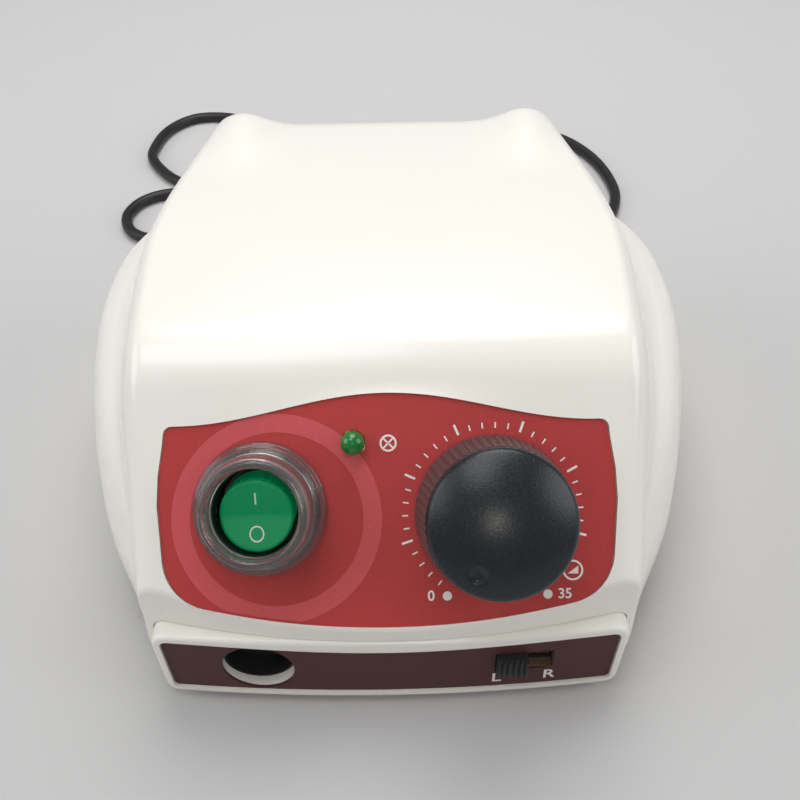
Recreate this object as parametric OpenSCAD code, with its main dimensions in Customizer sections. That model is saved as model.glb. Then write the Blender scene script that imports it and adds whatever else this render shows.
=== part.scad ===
// Control box of a bench micromotor: a moulded cover on a base tray, with a
// sloped control face, a connector frame below it, and the power supply inside.
// Millimetres, +Z up, front towards -Y, origin under the middle of the box.

/* [Case] */
// Greatest width, across the side bulges
case_w = 155; // [150:1:164]
// Depth from the front wall to the rear wall
case_d = 140; // [138:1:156]
// Wall of the moulded cover
wall = 2.5; // [2.2:0.1:3]
// Height of the cover's rim above the table
rim_z = 3; // [2.5:0.5:6]
// Width across the bulges at the front wall
front_w = 105; // [104:1:110]
// Width across the bulges at the rear wall
rear_w = 116; // [112:1:124]
// Width of the top, crease to crease, where it is widest
top_w = 110; // [108:1:116]
// Distance that the front wall draws back at the frame's ends
front_bow = 6.7; // [5.5:0.1:8]
// Rounding between the top and the rear wall
rear_r = 10; // [7:0.5:12]
// Height of the two ears at the rear corners of the top
ear_h = 4.5; // [2:0.5:6]

/* [Control face] */
// Slope of the control face from level
panel_tilt = 47; // [44:0.5:50]
// Height at which the control face meets the front wall
panel_foot = 27.4; // [27:0.2:31]
// Length of the slope up to the brow
slope_len = 50; // [49:0.5:54]
// Radius of the brow between slope and top
brow_r = 22; // [16:1:26]
// Width of the red overlay
panel_w = 94; // [90:0.5:94.5]
// Thickness of the red overlay
panel_t = 0.8; // [0.5:0.1:1]
// Depth of the overlay's face below the cover
panel_sink = 0.4; // [0.2:0.1:0.6]

/* [Connector frame] */
// Width of the frame at its upper corners
frame_w = 101; // [98:0.5:103]
// Top of the frame above the table
frame_top = 23.4; // [22.8:0.2:24.4]
// Radius of the frame's bow
frame_r = 460; // [400:10:600]
// Distance that the frame stands before the front wall in the middle
frame_out = 0.5; // [0.4:0.1:1.2]
// Rim of the frame round the maroon overlay
frame_rim = 1.8; // [1.4:0.1:2.4]
// Thickness of the maroon overlay
strip_t = 0.6; // [0.4:0.1:0.8]

/* [Controls] */
// Bore of the hole for the motor plug
port_d = 15.6; // [15:0.1:16.2]
// Travel of the direction slide
slide_travel = 5.6; // [4:0.2:6]
// Diameter of the speed knob at its foot
knob_d = 32; // [28:0.5:33]
// Height of the speed knob's skirt
knob_h = 17; // [15:0.5:20]
// Diameter of the speed shaft
shaft_d = 6; // [5:0.5:6.5]
// Diameter of the rocker
rocker_d = 14.8; // [13.6:0.2:15]
// Rocker tilt to each side of level
rocker_tilt = 11; // [8:0.5:12]
// Diameter of the pilot lamp
lamp_d = 5; // [4:0.5:6]

/* [Mains cord] */
// Diameter of the mains cord
cord_d = 4; // [3.6:0.1:4]
// Turns of the coil in each of its two layers
coil_turns = 2; // [1:1:2]

/* [Hidden] */
$fn = 64;
fit = 0.2;
run_fit = 0.05;
thin = 0.01;
white = [0.93, 0.92, 0.89];
black = [0.07, 0.07, 0.08];
steel = [0.72, 0.73, 0.75];
brass = [0.8, 0.66, 0.35];

// Side profile of the case: slope, brow, long top arc, rear rounding
top_rise = 5;
top_fall = 3.5;
brow_y0 = slope_len * cos(panel_tilt);
brow_z0 = panel_foot + slope_len * sin(panel_tilt);
brow_cy = brow_y0 + brow_r * sin(panel_tilt);
brow_cz = brow_z0 - brow_r * cos(panel_tilt);
top_y0 = brow_cy - brow_r * sin(top_rise);
top_z0 = brow_cz + brow_r * cos(top_rise);
top_y1 = case_d - rear_r + rear_r * sin(top_fall);
top_r = (top_y1 - top_y0) / (sin(top_rise) + sin(top_fall));
top_cy = top_y0 + top_r * sin(top_rise);
top_cz = top_z0 - top_r * cos(top_rise);
rear_cy = case_d - rear_r;
rear_cz = top_cz + (top_r - rear_r) * cos(top_fall);

function top_z(y) =
    y < brow_y0 ? panel_foot + y * tan(panel_tilt) :
    y < top_y0 ? brow_cz + sqrt(brow_r * brow_r - pow(y - brow_cy, 2)) :
    y < top_y1 ? top_cz + sqrt(top_r * top_r - pow(y - top_cy, 2)) :
    rear_cz + sqrt(max(0, rear_r * rear_r - pow(y - rear_cy, 2)));

// Plan of the case: bulge and top crease, as half widths along the depth
bulge_y = 95;
crease_y = 75;
top_front_w = 98;
top_rear_w = 85;
function bulge(y) = case_w / 2 - (y < bulge_y
    ? (case_w - front_w) / 2 * pow((bulge_y - y) / bulge_y, 1.6)
    : (case_w - rear_w) / 2 * pow((y - bulge_y) / (case_d - bulge_y), 3.2));
function crease(y) = top_w / 2 - (y < crease_y
    ? (top_w - top_front_w) / 2 * pow((crease_y - y) / crease_y, 1.2)
    : (top_w - top_rear_w) / 2 * pow((y - crease_y) / (case_d - crease_y), 1.7));

function soft(t) = let (c = min(max(t, 0), 1)) c * c * (3 - 2 * c);
bow_run = brow_y0;
function bow(x, s) = front_bow * pow(x / 50, 2) * (1 - soft(s / bow_run));

// Rounded nose between the front wall and the slope
nose_r = 3;
nose_len = nose_r * tan((90 - panel_tilt) / 2);
function nose_drop(s) = s >= nose_len * cos(panel_tilt) ? 0 :
    nose_len + s * tan(panel_tilt) - sqrt(nose_r * nose_r - pow(nose_r - s, 2));

// Ears on the rear corners of the top
ear_x = 38;
ear_half = 8;
ear_run = 30;
function ear(x, y) = ear_h * exp(-pow((abs(x) - ear_x) / ear_half, 2))
    * soft((y - top_y1 + ear_run) / ear_run) * (1 - soft((y - rear_cy) / rear_r));

// Half section as [x, share of the height], top centre to rim
valley_run = 20;
function section_ctrl(s, inset) = let (c = crease(s) - inset, b = bulge(s) - inset + 0.3,
    g = soft(s / valley_run)) [
    [0, 1], [c - 5, 1], [c, 0.995], [c + 3.5, 0.87],
    [c + (0.8 - 0.42 * g) * (b - c), 0.67], [b - 1 - 3 * g, 0.6],
    [b, 0.43], [b - 0.6, 0.12], [b - 2.3, 0]];
function bend3(a, b, c, t) = (1 - t) * (1 - t) * a + 2 * t * (1 - t) * b + t * t * c;
function half_section(s, inset, k) = let (p = section_ctrl(s, inset), n = len(p) - 1) concat(
    [for (i = [1 : n - 1], j = [0 : k - 1])
        bend3(i == 1 ? p[0] : (p[i - 1] + p[i]) / 2, p[i],
            i == n - 1 ? p[n] : (p[i] + p[i + 1]) / 2, j / k)],
    [p[n]]);

// Inner faces lie a wall below and behind the outer ones
inner_shift = 0.73;
rim_step = 0.15;
rear_wall = 3.5;
function roof(s, y, inset) = inset == 0 ? top_z(y) - nose_drop(s) :
    min(top_z(y - inner_shift * inset), top_z(min(y + rear_wall, case_d))) - inset;
function half_skin(s, inset, k) = [for (p = half_section(s, inset, k))
    let (y = s + bow(p[0], s),
        lift = inset > 0 ? 0 : ear(p[0], y) * soft((p[1] - 0.8) / 0.2))
    [p[0], y, rim_z + p[1] * (roof(s, y, inset) - rim_z) + lift]];
function flip(p) = [-p[0], p[1], p[2]];
function whole(h) = concat([for (i = [len(h) - 1 : -1 : 1]) flip(h[i])], h);
function foot_row(h, s) = let (m = len(h) - 1) whole([for (i = [0 : m])
    let (x = i == 0 ? 0 : min(h[i][0], h[m][0] - (m - i) * rim_step)) [x, s + bow(x, s), rim_z]]);
function skin_points(inset, k, stations) = let (n = len(stations),
    halves = [for (s = stations) half_skin(s, inset, k)], w = 2 * len(halves[0]) - 1,
    front = foot_row(halves[0], stations[0]), back = foot_row(halves[n - 1], stations[n - 1]))
    concat([for (h = halves) each whole(h)], [for (i = [1 : w - 2]) front[i]],
        [for (i = [1 : w - 2]) back[i]]);

// Faces of one skin of n sections with w points each, and its loop at the rim
function foot_id(n, w, j, back) = j == 0 || j == w - 1 ? (back ? (n - 1) * w : 0) + j :
    n * w + (back ? w - 2 : 0) + j - 1;
function skin_faces(n, w) = concat(
    [for (i = [0 : n - 2], j = [0 : w - 2]) each [
        [i * w + j, (i + 1) * w + j, (i + 1) * w + j + 1],
        [i * w + j, (i + 1) * w + j + 1, i * w + j + 1]]],
    [for (j = [0 : w - 2]) let (f = foot_id(n, w, j, false)) each concat(
        j == 0 ? [] : [[f, j, j + 1]],
        j == w - 2 ? [] : [[f, j + 1, foot_id(n, w, j + 1, false)]])],
    [for (j = [0 : w - 2]) let (r = (n - 1) * w, f = foot_id(n, w, j, true)) each concat(
        j == 0 ? [] : [[r + j, f, r + j + 1]],
        j == w - 2 ? [] : [[r + j + 1, f, foot_id(n, w, j + 1, true)]])]);
function rim_loop(n, w) = concat([for (j = [0 : w - 1]) foot_id(n, w, j, false)],
    [for (i = [1 : n - 2]) i * w + w - 1], [for (j = [w - 1 : -1 : 0]) foot_id(n, w, j, true)],
    [for (i = [n - 2 : -1 : 1]) i * w]);

// The cover's shell: an outer and an inner skin joined round the rim
function spread(a, b, n) = [for (i = [0 : n - 1]) a + (b - a) * i / n];
stations = concat(
    [0, nose_len * 0.1, nose_len * 0.35], spread(nose_len * cos(panel_tilt), brow_y0, 4),
    spread(brow_y0, top_y0, 5), spread(top_y0, bulge_y, 4), [bulge_y],
    spread(top_y1 - ear_run, top_y1, 6),
    [for (a = [10 : 20 : 70]) rear_cy + rear_r * sin(a)], [case_d]);
module case_shell() {
    k = 2;
    inner_stations = [for (s = stations) wall + s * (case_d - wall - rear_wall) / case_d];
    outer_pts = skin_points(0, k, stations);
    inner_pts = skin_points(wall, k, inner_stations);
    n = len(stations);
    w = 2 * len(half_section(0, 0, k)) - 1;
    m = len(outer_pts);
    faces = skin_faces(n, w);
    rim = rim_loop(n, w);
    polyhedron(concat(outer_pts, inner_pts), concat(faces,
        [for (f = faces) [f[2] + m, f[1] + m, f[0] + m]],
        [for (i = [0 : len(rim) - 1]) let (a = rim[i], b = rim[(i + 1) % len(rim)])
            each [[a, b, b + m], [a, b + m, a + m]]]), convexity = 8);
}

// Front reach of the knob and rear reach of the fuse cap set the middle
cap_rim = 2.3;
cap_d = knob_d - 3.4;
cap_dome = 4.2;
cap_edge_r = cap_d / 2 - 0.6;
cap_round = (pow(cap_d / 2, 2) + cap_dome * cap_dome) / (2 * cap_dome);
cap_edge_z = knob_h + cap_rim + cap_dome - cap_round
    + sqrt(cap_round * cap_round - cap_edge_r * cap_edge_r);
knob_u = 21.5;
knob_v = 23.6;
fuse_cap_out = 11;
front_reach = (knob_v - cap_edge_r) * cos(panel_tilt)
    - (cap_edge_z - panel_sink) * sin(panel_tilt);
rear_reach = case_d + fuse_cap_out;
mid_y = (front_reach + rear_reach) / 2;

// Placing helpers: case frame, and control face frame with z outward
module in_case() {
    translate([0, -mid_y, 0]) children();
}
module on_panel(u, v) {
    in_case()
        translate([u, v * cos(panel_tilt), panel_foot + v * sin(panel_tilt)])
            rotate([panel_tilt, 0, 0])
                translate([0, 0, -panel_sink]) children();
}
module facing_front(x, z) {
    in_case() translate([x, 0, z]) rotate([90, 0, 0]) children();
}
module facing_rear(x, y, z) {
    in_case() translate([x, y, z]) rotate([-90, 0, 0]) children();
}
module screw(d, l) {
    difference() {
        union() {
            cylinder(d = 2 * d, h = 0.7 * d);
            translate([0, 0, -l]) cylinder(d = d, h = l + thin);
        }
        for (a = [0, 90])
            rotate([0, 0, a]) translate([-0.7 * d, -0.12 * d, 0.35 * d])
                cube([1.4 * d, 0.24 * d, d]);
    }
}
module plate(x, y, z) {
    translate([-x / 2, -y / 2, 0]) cube([x, y, z]);
}
module hex_nut(across, bore, h) {
    difference() {
        cylinder(d = across / cos(30), h = h, $fn = 6);
        translate([0, 0, -1]) cylinder(d = bore, h = h + 2);
    }
}

// Outline of the red overlay on the slope
panel_low = 0.6;
panel_shoulder = 42.4;
panel_crown = 6.1;
corner_low_r = 11;
function panel_low_v(u) = panel_low + front_bow * pow(u / 50, 2) / cos(panel_tilt) * 0.78;
function panel_side(half, n) = concat(
    [for (i = [0 : 6]) let (u = (half - corner_low_r) * i / 6) [u, panel_low_v(u)]],
    [for (i = [1 : n]) let (a = -80 + 76 * i / n)
        [half - corner_low_r - 0.8 + corner_low_r * cos(a),
            panel_low_v(half - corner_low_r) + corner_low_r * (1 + sin(a))]],
    [for (i = [1 : 3]) [half - 1.3 * pow((i - 1) / 2, 2), 20 + 6.2 * i]],
    [for (i = [0 : 3]) let (a = 30 * i)
        [half - 3.3 + 1.8 * cos(a), panel_shoulder - 1.8 + 1.8 * sin(a)]],
    [for (i = [0 : 13]) let (u = (half - 5) * (1 - i / 14))
        [u, panel_shoulder + panel_crown * (1 + cos(180 * u / (half - 4))) / 2]],
    [[0, panel_shoulder + panel_crown]]);
module panel_outline(grow) {
    side = panel_side(panel_w / 2 + grow, 6);
    polygon(concat(side, [for (i = [len(side) - 2 : -1 : 1]) [-side[i][0], side[i][1]]]));
}

// Connector frame: an outline seen from the front, bowed on a large radius
frame_foot = rim_z - 0.5;
frame_taper = 0.6;
strip_depth = strip_t + 0.6;
strip_dip = 1.6;
module frame_outline(inset) {
    half = frame_w / 2 - inset;
    low = frame_foot + inset;
    high = frame_top - inset;
    r = max(3.6 - inset, 1.2);
    r_low = max(2.8 - inset, 0.9);
    side = concat([for (i = [0 : 3]) let (a = -90 + 30 * i)
            [half - frame_taper - r_low * (1 - cos(a)), low + r_low * (1 + sin(a))]],
        [for (i = [0 : 4]) let (a = 22.5 * i)
            [half - r + r * cos(a), high - r + r * sin(a)]]);
    dip = inset > 0 ? strip_dip : 0;
    top = [for (i = [0 : 12]) let (u = (half - r) * (1 - i / 6))
        [u, high - dip * (1 + cos(180 * u / (half - r))) / 2]];
    polygon(concat(side, top, [for (i = [len(side) - 1 : -1 : 0]) [-side[i][0], side[i][1]]]));
}
module frame_bar(inset, y0, y1) {
    translate([0, y1, 0]) rotate([90, 0, 0]) linear_extrude(y1 - y0) frame_outline(inset);
}
module frame_round(sink) {
    translate([0, frame_r - frame_out, -5])
        cylinder(r = frame_r - sink, h = 60, $fn = 720);
}
function frame_y(x) = frame_r - frame_out - sqrt(frame_r * frame_r - x * x);

// Places of the controls
switch_u = -25.8;
switch_v = 25.4;
lamp_u = -6.8;
lamp_v = 38.4;
port_x = -28.5;
port_z = 12.7;
port_seat = frame_y(port_x) + 3.4;
slide_x = 28.6;
slide_z = 13.6;
slide_seat = frame_y(slide_x) + 3.2;
slider_w = 6.6;
slot_w = slider_w + slide_travel + 2 * fit;
slot_h = 6.4;
panel_wall = wall * (inner_shift * sin(panel_tilt) + cos(panel_tilt));
under = panel_wall - panel_sink + 0.1;
switch_hole_d = 20.2;
bush_d = shaft_d + 1.4;

// Posts of the cover, each with a pilot hole for a base screw
tray_t = 2.5;
tray_z = rim_z + fit;
tray_top = tray_z + tray_t;
post_at = [[-44.3, 55.6], [44.3, 55.6], [-43.7, 106.1], [43.7, 106.1]];
post_d = 7;
screw_d = 3;

// Rear panel
rear_w_plate = 84;
rear_h_plate = 38;
rear_z = 30;
rear_t = 1.5;
rear_lip = 4;
gland_x = 5;
gland_z = 21.6;
fuse_x = 27;
fuse_z = 34;
jack_x = -26;
jack_z = 30;
rear_screw_d = 2.5;
rear_screw_at = [for (x = [-1, 1], z = [-1, 1])
    [x * (rear_w_plate / 2 - 3), rear_z + z * (rear_h_plate / 2 - 3)]];

module cover_posts() {
    for (p = post_at)
        translate([p[0] - post_d / 2, p[1] - post_d / 2, tray_top])
            cube([post_d, post_d, top_z(p[1]) - 0.7 * wall - tray_top]);
}
module front_cuts() {
    difference() {
        frame_bar(frame_rim, -6, 6);
        frame_round(strip_depth);
    }
    translate([port_x - 15.5, port_seat, port_z - socket_d / 2 - fit])
        cube([31, 12, socket_d + 2 * fit]);
    translate([slide_x - 15, slide_seat, slide_z - 7]) cube([30, 10, 13]);
    translate([port_x, 0, port_z]) rotate([90, 0, 0])
        cylinder(d = port_d, h = 20, center = true);
    translate([slide_x - slot_w / 2, -5, slide_z - slot_h / 2]) cube([slot_w, 12, slot_h]);
}
frame_back = 3.4;
module connector_frame() {
    bow_r = 50 * 50 / (2 * front_bow);
    color(white) in_case() difference() {
        intersection() {
            frame_bar(0, -4, front_bow + 6);
            frame_round(0);
        }
        translate([0, bow_r + frame_back, -9]) cylinder(r = bow_r, h = 70, $fn = 360);
        front_cuts();
    }
}
module rear_cuts() {
    translate([-rear_w_plate / 2, case_d - rear_t, rear_z - rear_h_plate / 2])
        cube([rear_w_plate, 5, rear_h_plate]);
    translate([-rear_w_plate / 2 + rear_lip, case_d - 8, rear_z - rear_h_plate / 2 + rear_lip])
        cube([rear_w_plate - 2 * rear_lip, 10, rear_h_plate - 2 * rear_lip]);
    for (p = rear_screw_at)
        translate([p[0], case_d - 8, p[1]])
            rotate([-90, 0, 0]) cylinder(d = rear_screw_d + fit, h = 10, $fn = 16);
}
hole_turn = 3.5;
module panel_holes(depth) {
    for (h = [[switch_u, switch_v, switch_hole_d], [knob_u, knob_v, bush_d + fit],
            [lamp_u, lamp_v, lamp_d + fit]])
        on_panel(h[0], h[1]) translate([0, 0, -depth]) rotate([0, 0, hole_turn])
            cylinder(d = h[2], h = depth + 4);
}
module top_cover() {
    color(white) resize([case_w, 0, 0]) difference() {
        in_case() union() {
            case_shell();
            cover_posts();
        }
        in_case() frame_bar(-fit, -6, front_bow + 5);
        in_case() rear_cuts();
        on_panel(0, 0)
            translate([0, 0, -panel_t]) linear_extrude(6) panel_outline(0);
        panel_holes(8, $fn = 32);
        in_case() for (p = post_at)
            translate([p[0], p[1], tray_top - 1]) cylinder(d = screw_d - 0.4, h = 17, $fn = 16);
    }
}

// Base tray: the cover's rim outline less a wall and a gap
tray_in = 2 + wall + fit;
tray_front = wall + fit + 1;
function tray_side(n) = [for (i = [0 : n])
    let (s = tray_front + 4 + (case_d - rear_wall - fit - tray_front - 4) * i / n)
    [bulge(s) - tray_in - 0.4, i == n ? s : s + bow(bulge(s), s)]];
module tray_outline() {
    side = tray_side(14);
    half = side[0][0];
    front = [for (i = [-5 : 5]) let (x = half * 0.9 * i / 5) [x, tray_front + bow(x, 0)]];
    polygon(concat(front, side,
        [for (i = [len(side) - 1 : -1 : 0]) [-side[i][0], side[i][1]]]));
}
foot_at = [[-44, 22], [44, 22], [-54, 118], [54, 118]];
foot_d = 14;
board_at = [0, 60];
board_size = [74, 38];
board_z = tray_top + 6;
board_post_at = [for (x = [-1, 1], y = [-1, 1])
    [board_at[0] + x * (board_size[0] / 2 - 4), board_at[1] + y * (board_size[1] / 2 - 4)]];
core_w = 54;
core_h = 45;
core_stack = 26;
core_y = 98;
bracket_t = 1.2;
bracket_hole_x = core_w / 2 + 7;
module base_tray() {
    color([0.85, 0.85, 0.83]) in_case() difference() {
        union() {
            translate([0, 0, tray_z]) linear_extrude(tray_t) tray_outline();
            for (p = board_post_at)
                translate([p[0], p[1], tray_top - thin]) cylinder(d = 8, h = 1.5);
        }
        for (p = post_at) translate([p[0], p[1], tray_z - 1]) {
            cylinder(d = screw_d + 2 * fit, h = 10);
            cylinder(d = 2 * screw_d + 4 * fit, h = 2.2);
        }
        for (p = foot_at)
            translate([p[0], p[1], tray_z - 1]) cylinder(d = 6, h = 10);
        for (p = board_post_at)
            translate([p[0], p[1], tray_z - 1]) cylinder(d = screw_d + fit, h = 10);
        for (x = [-1, 1])
            translate([x * bracket_hole_x, core_y, tray_z - 1])
                cylinder(d = screw_d + fit, h = 10);
        translate([port_x - 10, 0, tray_z - 1]) cube([20, port_seat + 15, 10]);
        for (side = [-1, 1], i = [0 : 6])
            translate([side * 17 - 12, 24 + 3 * i, tray_z - 1]) cube([24, 1.5, 10]);
    }
}

module rubber_feet() {
    color([0.12, 0.12, 0.12]) in_case() for (p = foot_at)
        translate([p[0], p[1], 0]) rotate_extrude() polygon([
            [0, 0], [foot_d / 2 - 0.8, 0], [foot_d / 2, 0.8], [foot_d / 2 - 0.4, tray_z],
            [2.9, tray_z], [2.9, tray_top], [3.8, tray_top], [2.4, tray_top + 2.5],
            [0, tray_top + 2.5]]);
}

module base_screws() {
    color(steel) in_case() for (p = post_at)
        translate([p[0], p[1], tray_z + 1.2]) mirror([0, 0, 1])
            screw(screw_d, 14);
}

module control_overlay() {
    color([0.6, 0.2, 0.21]) difference() {
        on_panel(0, 0)
            translate([0, 0, -panel_t]) linear_extrude(panel_t) panel_outline(-fit);
        panel_holes(3);
    }
}

module connector_overlay() {
    color([0.32, 0.2, 0.22]) difference() {
        in_case() intersection() {
            frame_bar(frame_rim + fit, -6, 8);
            difference() {
                frame_round(strip_depth - strip_t);
                frame_round(strip_depth);
            }
        }
        facing_front(port_x, port_z)
            translate([0, 0, -12]) cylinder(d = port_d, h = 20);
        in_case() translate([slide_x - slot_w / 2, -5, slide_z - slot_h / 2])
            cube([slot_w, 12, slot_h]);
    }
}

// Round power switch: housing, rocker, terminals and clear collar
barrel_d = switch_hole_d - fit;
neck_d = 20;
neck_bore = 17.4;
neck_h = 7;
rocker_z = 2.5;
rocker_face = 3.5;
pin_d = 2.4;
barrel_len = 18;
flange_d = 23;
flange_h = 1.8;
module rocker_housing() {
    color(black) on_panel(switch_u, switch_v) difference() {
        union() {
            translate([0, 0, -barrel_len]) cylinder(d = barrel_d, h = barrel_len + 1);
            cylinder(d = flange_d, h = flange_h);
            cylinder(d = neck_d, h = neck_h);
            for (a = [0, 180]) rotate([0, 0, a])
                translate([barrel_d / 2 - 1, -2.5, -under - 6]) rotate([90, 0, 0])
                    mirror([0, 0, 1]) linear_extrude(5)
                        polygon([[0, 0], [1.4, 0], [2.4, 5.4], [0, 5.4]]);
        }
        translate([0, 0, -4.5]) cylinder(d = neck_bore, h = 20);
        translate([0, 0, rocker_z]) rotate([0, 90, 0])
            cylinder(d = pin_d + 2 * run_fit, h = 22, center = true);
        for (x = [-4, 4], y = [-4, 4])
            translate([x - 2.5, y - 0.5, -barrel_len - 1]) cube([5, 1, 7]);
    }
}

module rocker_form() {
    rise = rocker_d / 2 * tan(rocker_tilt);
    intersection() {
        translate([0, 0, -3]) cylinder(d = rocker_d, h = 14);
        rotate([90, 0, 90]) linear_extrude(rocker_d + 2, center = true) polygon([
            [-rocker_d, -3], [rocker_d, -3], [rocker_d / 2, rocker_face + rise],
            [0, rocker_face], [-rocker_d / 2, rocker_face + rise]]);
    }
}
module rocker_button() {
    color([0.1, 0.6, 0.36]) on_panel(switch_u, switch_v)
        translate([0, 0, rocker_z]) rotate([rocker_tilt, 0, 0]) {
            rocker_form();
            rotate([0, 90, 0]) cylinder(d = pin_d, h = neck_bore + 1.8, center = true);
        }
}

module rocker_terminals() {
    color(brass) on_panel(switch_u, switch_v) for (x = [-4, 4], y = [-4, 4])
        translate([x - 2.4, y - 0.4, -barrel_len - 9]) difference() {
            cube([4.8, 0.8, 14]);
            translate([2.4, -1, 2.8]) rotate([-90, 0, 0]) cylinder(d = 1.6, h = 3);
        }
}

collar_d = 27.2;
collar_h = 12.3;
collar_lip_d = 17.7;
module switch_collar() {
    color([0.6, 0.6, 0.6, 0.5]) on_panel(switch_u, switch_v) rotate_extrude() polygon([
        [flange_d / 2 + fit, 0], [collar_d / 2, 0], [collar_d / 2, 2.2],
        [collar_d / 2 - 1.2, 2.6], [collar_d / 2 - 1.3, 5.4], [collar_d / 2 - 2.1, 5.8],
        [collar_d / 2 - 3, 11.7], [collar_d / 2 - 3.5, collar_h],
        [collar_lip_d / 2 + 0.5, collar_h], [collar_lip_d / 2, collar_h - 0.6],
        [collar_lip_d / 2, neck_h + fit], [neck_d / 2 + fit, neck_h + fit],
        [neck_d / 2 + fit, flange_h + fit], [flange_d / 2 + fit, flange_h + fit]]);
}

module pilot_lamp() {
    color([0.1, 0.5, 0.2]) on_panel(lamp_u, lamp_v) {
        translate([0, 0, -under - 1]) cylinder(d = lamp_d, h = under + 1 + 1.6);
        translate([0, 0, 1.6]) sphere(d = lamp_d);
        translate([0, 0, -under - 1.1]) cylinder(d = lamp_d + 0.9, h = 1);
    }
}
module lamp_leads() {
    color(steel) on_panel(lamp_u, lamp_v) for (x = [-1.27, 1.27])
        translate([x - 0.25, -0.25, -under - 13.1]) cube([0.5, 0.5, 12]);
}

// Speed control: knob of two pieces on the shaft of a potentiometer
can_d = 17;
can_len = 9;
bush_top = 5.5;
knob_gap = 0.8;
shaft_low = under + 7;
shaft_top = knob_h - 2.4;
ribs = 60;
rib_h = 0.6;
module knob_skirt() {
    r = knob_d / 2;
    top = cap_d / 2 + 0.2;
    color([0.3, 0.31, 0.34]) on_panel(knob_u, knob_v) difference() {
        intersection() {
            rotate_extrude() polygon([[0, knob_gap], [r - 0.6, knob_gap], [r, knob_gap + 0.8],
                [top, knob_h], [0, knob_h]]);
            linear_extrude(knob_h + 1) polygon([for (i = [0 : 4 * ribs - 1])
                let (a = 90 * i / ribs, q = i % 4 < 2 ? r + 0.5 : top - rib_h)
                [q * cos(a), q * sin(a)]]);
        }
        translate([0, 0, -1]) rotate_extrude() polygon([
            [shaft_d / 2 + 2.6, bush_top + 2], [shaft_d / 2 + 4.2, knob_h - 4],
            [top - rib_h - 3, knob_h - 4], [r - rib_h - 2.6, 0], [0, 0], [0, bush_top + 2]]);
        translate([0, 0, -1]) cylinder(d = shaft_d + 0.04, h = knob_h - 1.2);
    }
}
pointer_a = -118;
pointer_r = 10.2;
module knob_cap() {
    r = cap_d / 2;
    dome_r = cap_round;
    dome_z = knob_h + cap_rim + cap_dome - dome_r;
    half = asin(cap_edge_r / dome_r);
    color([0.36, 0.38, 0.42]) on_panel(knob_u, knob_v) difference() {
        rotate_extrude() polygon(concat([[0, knob_h], [r, knob_h], [r, knob_h + cap_rim - 0.4]],
            [for (i = [0 : 10]) let (a = half * (1 - i / 10))
                [dome_r * sin(a), dome_z + dome_r * cos(a)]]));
        translate([0, 0, dome_z]) rotate([0, 0, pointer_a])
            rotate([0, asin(pointer_r / dome_r), 0])
                translate([0, 0, dome_r - 0.7]) cylinder(d1 = 2.6, d2 = 6.6, h = 2);
    }
}
module pot_shaft() {
    color(steel) on_panel(knob_u, knob_v)
        translate([0, 0, -shaft_low]) cylinder(d = shaft_d, h = shaft_low + shaft_top);
}
module potentiometer() {
    color([0.6, 0.6, 0.58]) on_panel(knob_u, knob_v) difference() {
        union() {
            translate([0, 0, -under - can_len]) cylinder(d = can_d, h = can_len);
            translate([0, 0, -under - 1]) cylinder(d = bush_d, h = under + 1 + bush_top);
            translate([-6.5, -can_d / 2 - 3, -under - 2.4]) cube([13, 8, 1.6]);
        }
        translate([0, 0, -shaft_low - 0.3])
            cylinder(d = shaft_d + 2 * run_fit, h = 40);
    }
}
module pot_nut() {
    color(brass) on_panel(knob_u, knob_v) {
        hex_nut(10.6, bush_d + 0.1, 2.6);
        difference() {
            translate([0, 0, 0]) cylinder(d = 13, h = 0.6);
            translate([0, 0, -1]) cylinder(d = bush_d + 0.1, h = 3);
        }
    }
}
module pot_terminals() {
    color(brass) on_panel(knob_u, knob_v) for (x = [-5, 0, 5])
        translate([x - 0.6, -can_d / 2 - 9, -under - 3.1]) cube([1.2, 9, 0.7]);
}

// Motor socket behind the round hole
socket_d = 18;
socket_len = 14;
recess = 5;
contact_ring = 3.5;
contact_d = 1.5;
ear_span = 11.2;
socket_screw_d = 2;
module socket_holes(d, h) {
    for (a = [0 : 45 : 180])
        rotate([0, 0, 180 + a]) translate([contact_ring, 0, 0]) cylinder(d = d, h = h);
}
module motor_socket() {
    color(black) facing_front(port_x, port_z) difference() {
        union() {
            translate([0, 0, -port_seat - socket_len]) cylinder(d = socket_d, h = socket_len);
            translate([0, 0, -port_seat - 2]) linear_extrude(2) {
                square([2 * ear_span, 5], center = true);
                for (x = [-1, 1]) translate([x * ear_span, 0]) circle(d = 5);
            }
        }
        translate([0, 0, -port_seat - recess]) cylinder(d = port_d - 0.8, h = recess + 1);
        translate([0, 0, -port_seat - socket_len - 1])
            socket_holes(contact_d + 0.04, socket_len);
        for (x = [-1, 1]) translate([x * ear_span, 0, -port_seat - 3])
            cylinder(d = socket_screw_d + fit, h = 4);
    }
}
module socket_contacts() {
    color(brass) facing_front(port_x, port_z) difference() {
        translate([0, 0, -port_seat - socket_len - 5])
            socket_holes(contact_d, socket_len - recess + 4);
        translate([0, 0, -port_seat - recess - 5])
            socket_holes(0.9, 6);
    }
}
module socket_screws() {
    color(steel) facing_front(port_x, port_z) for (x = [-1, 1])
        translate([x * ear_span, 0, -port_seat - 2]) mirror([0, 0, 1])
            screw(socket_screw_d, 1.9);
}

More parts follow.
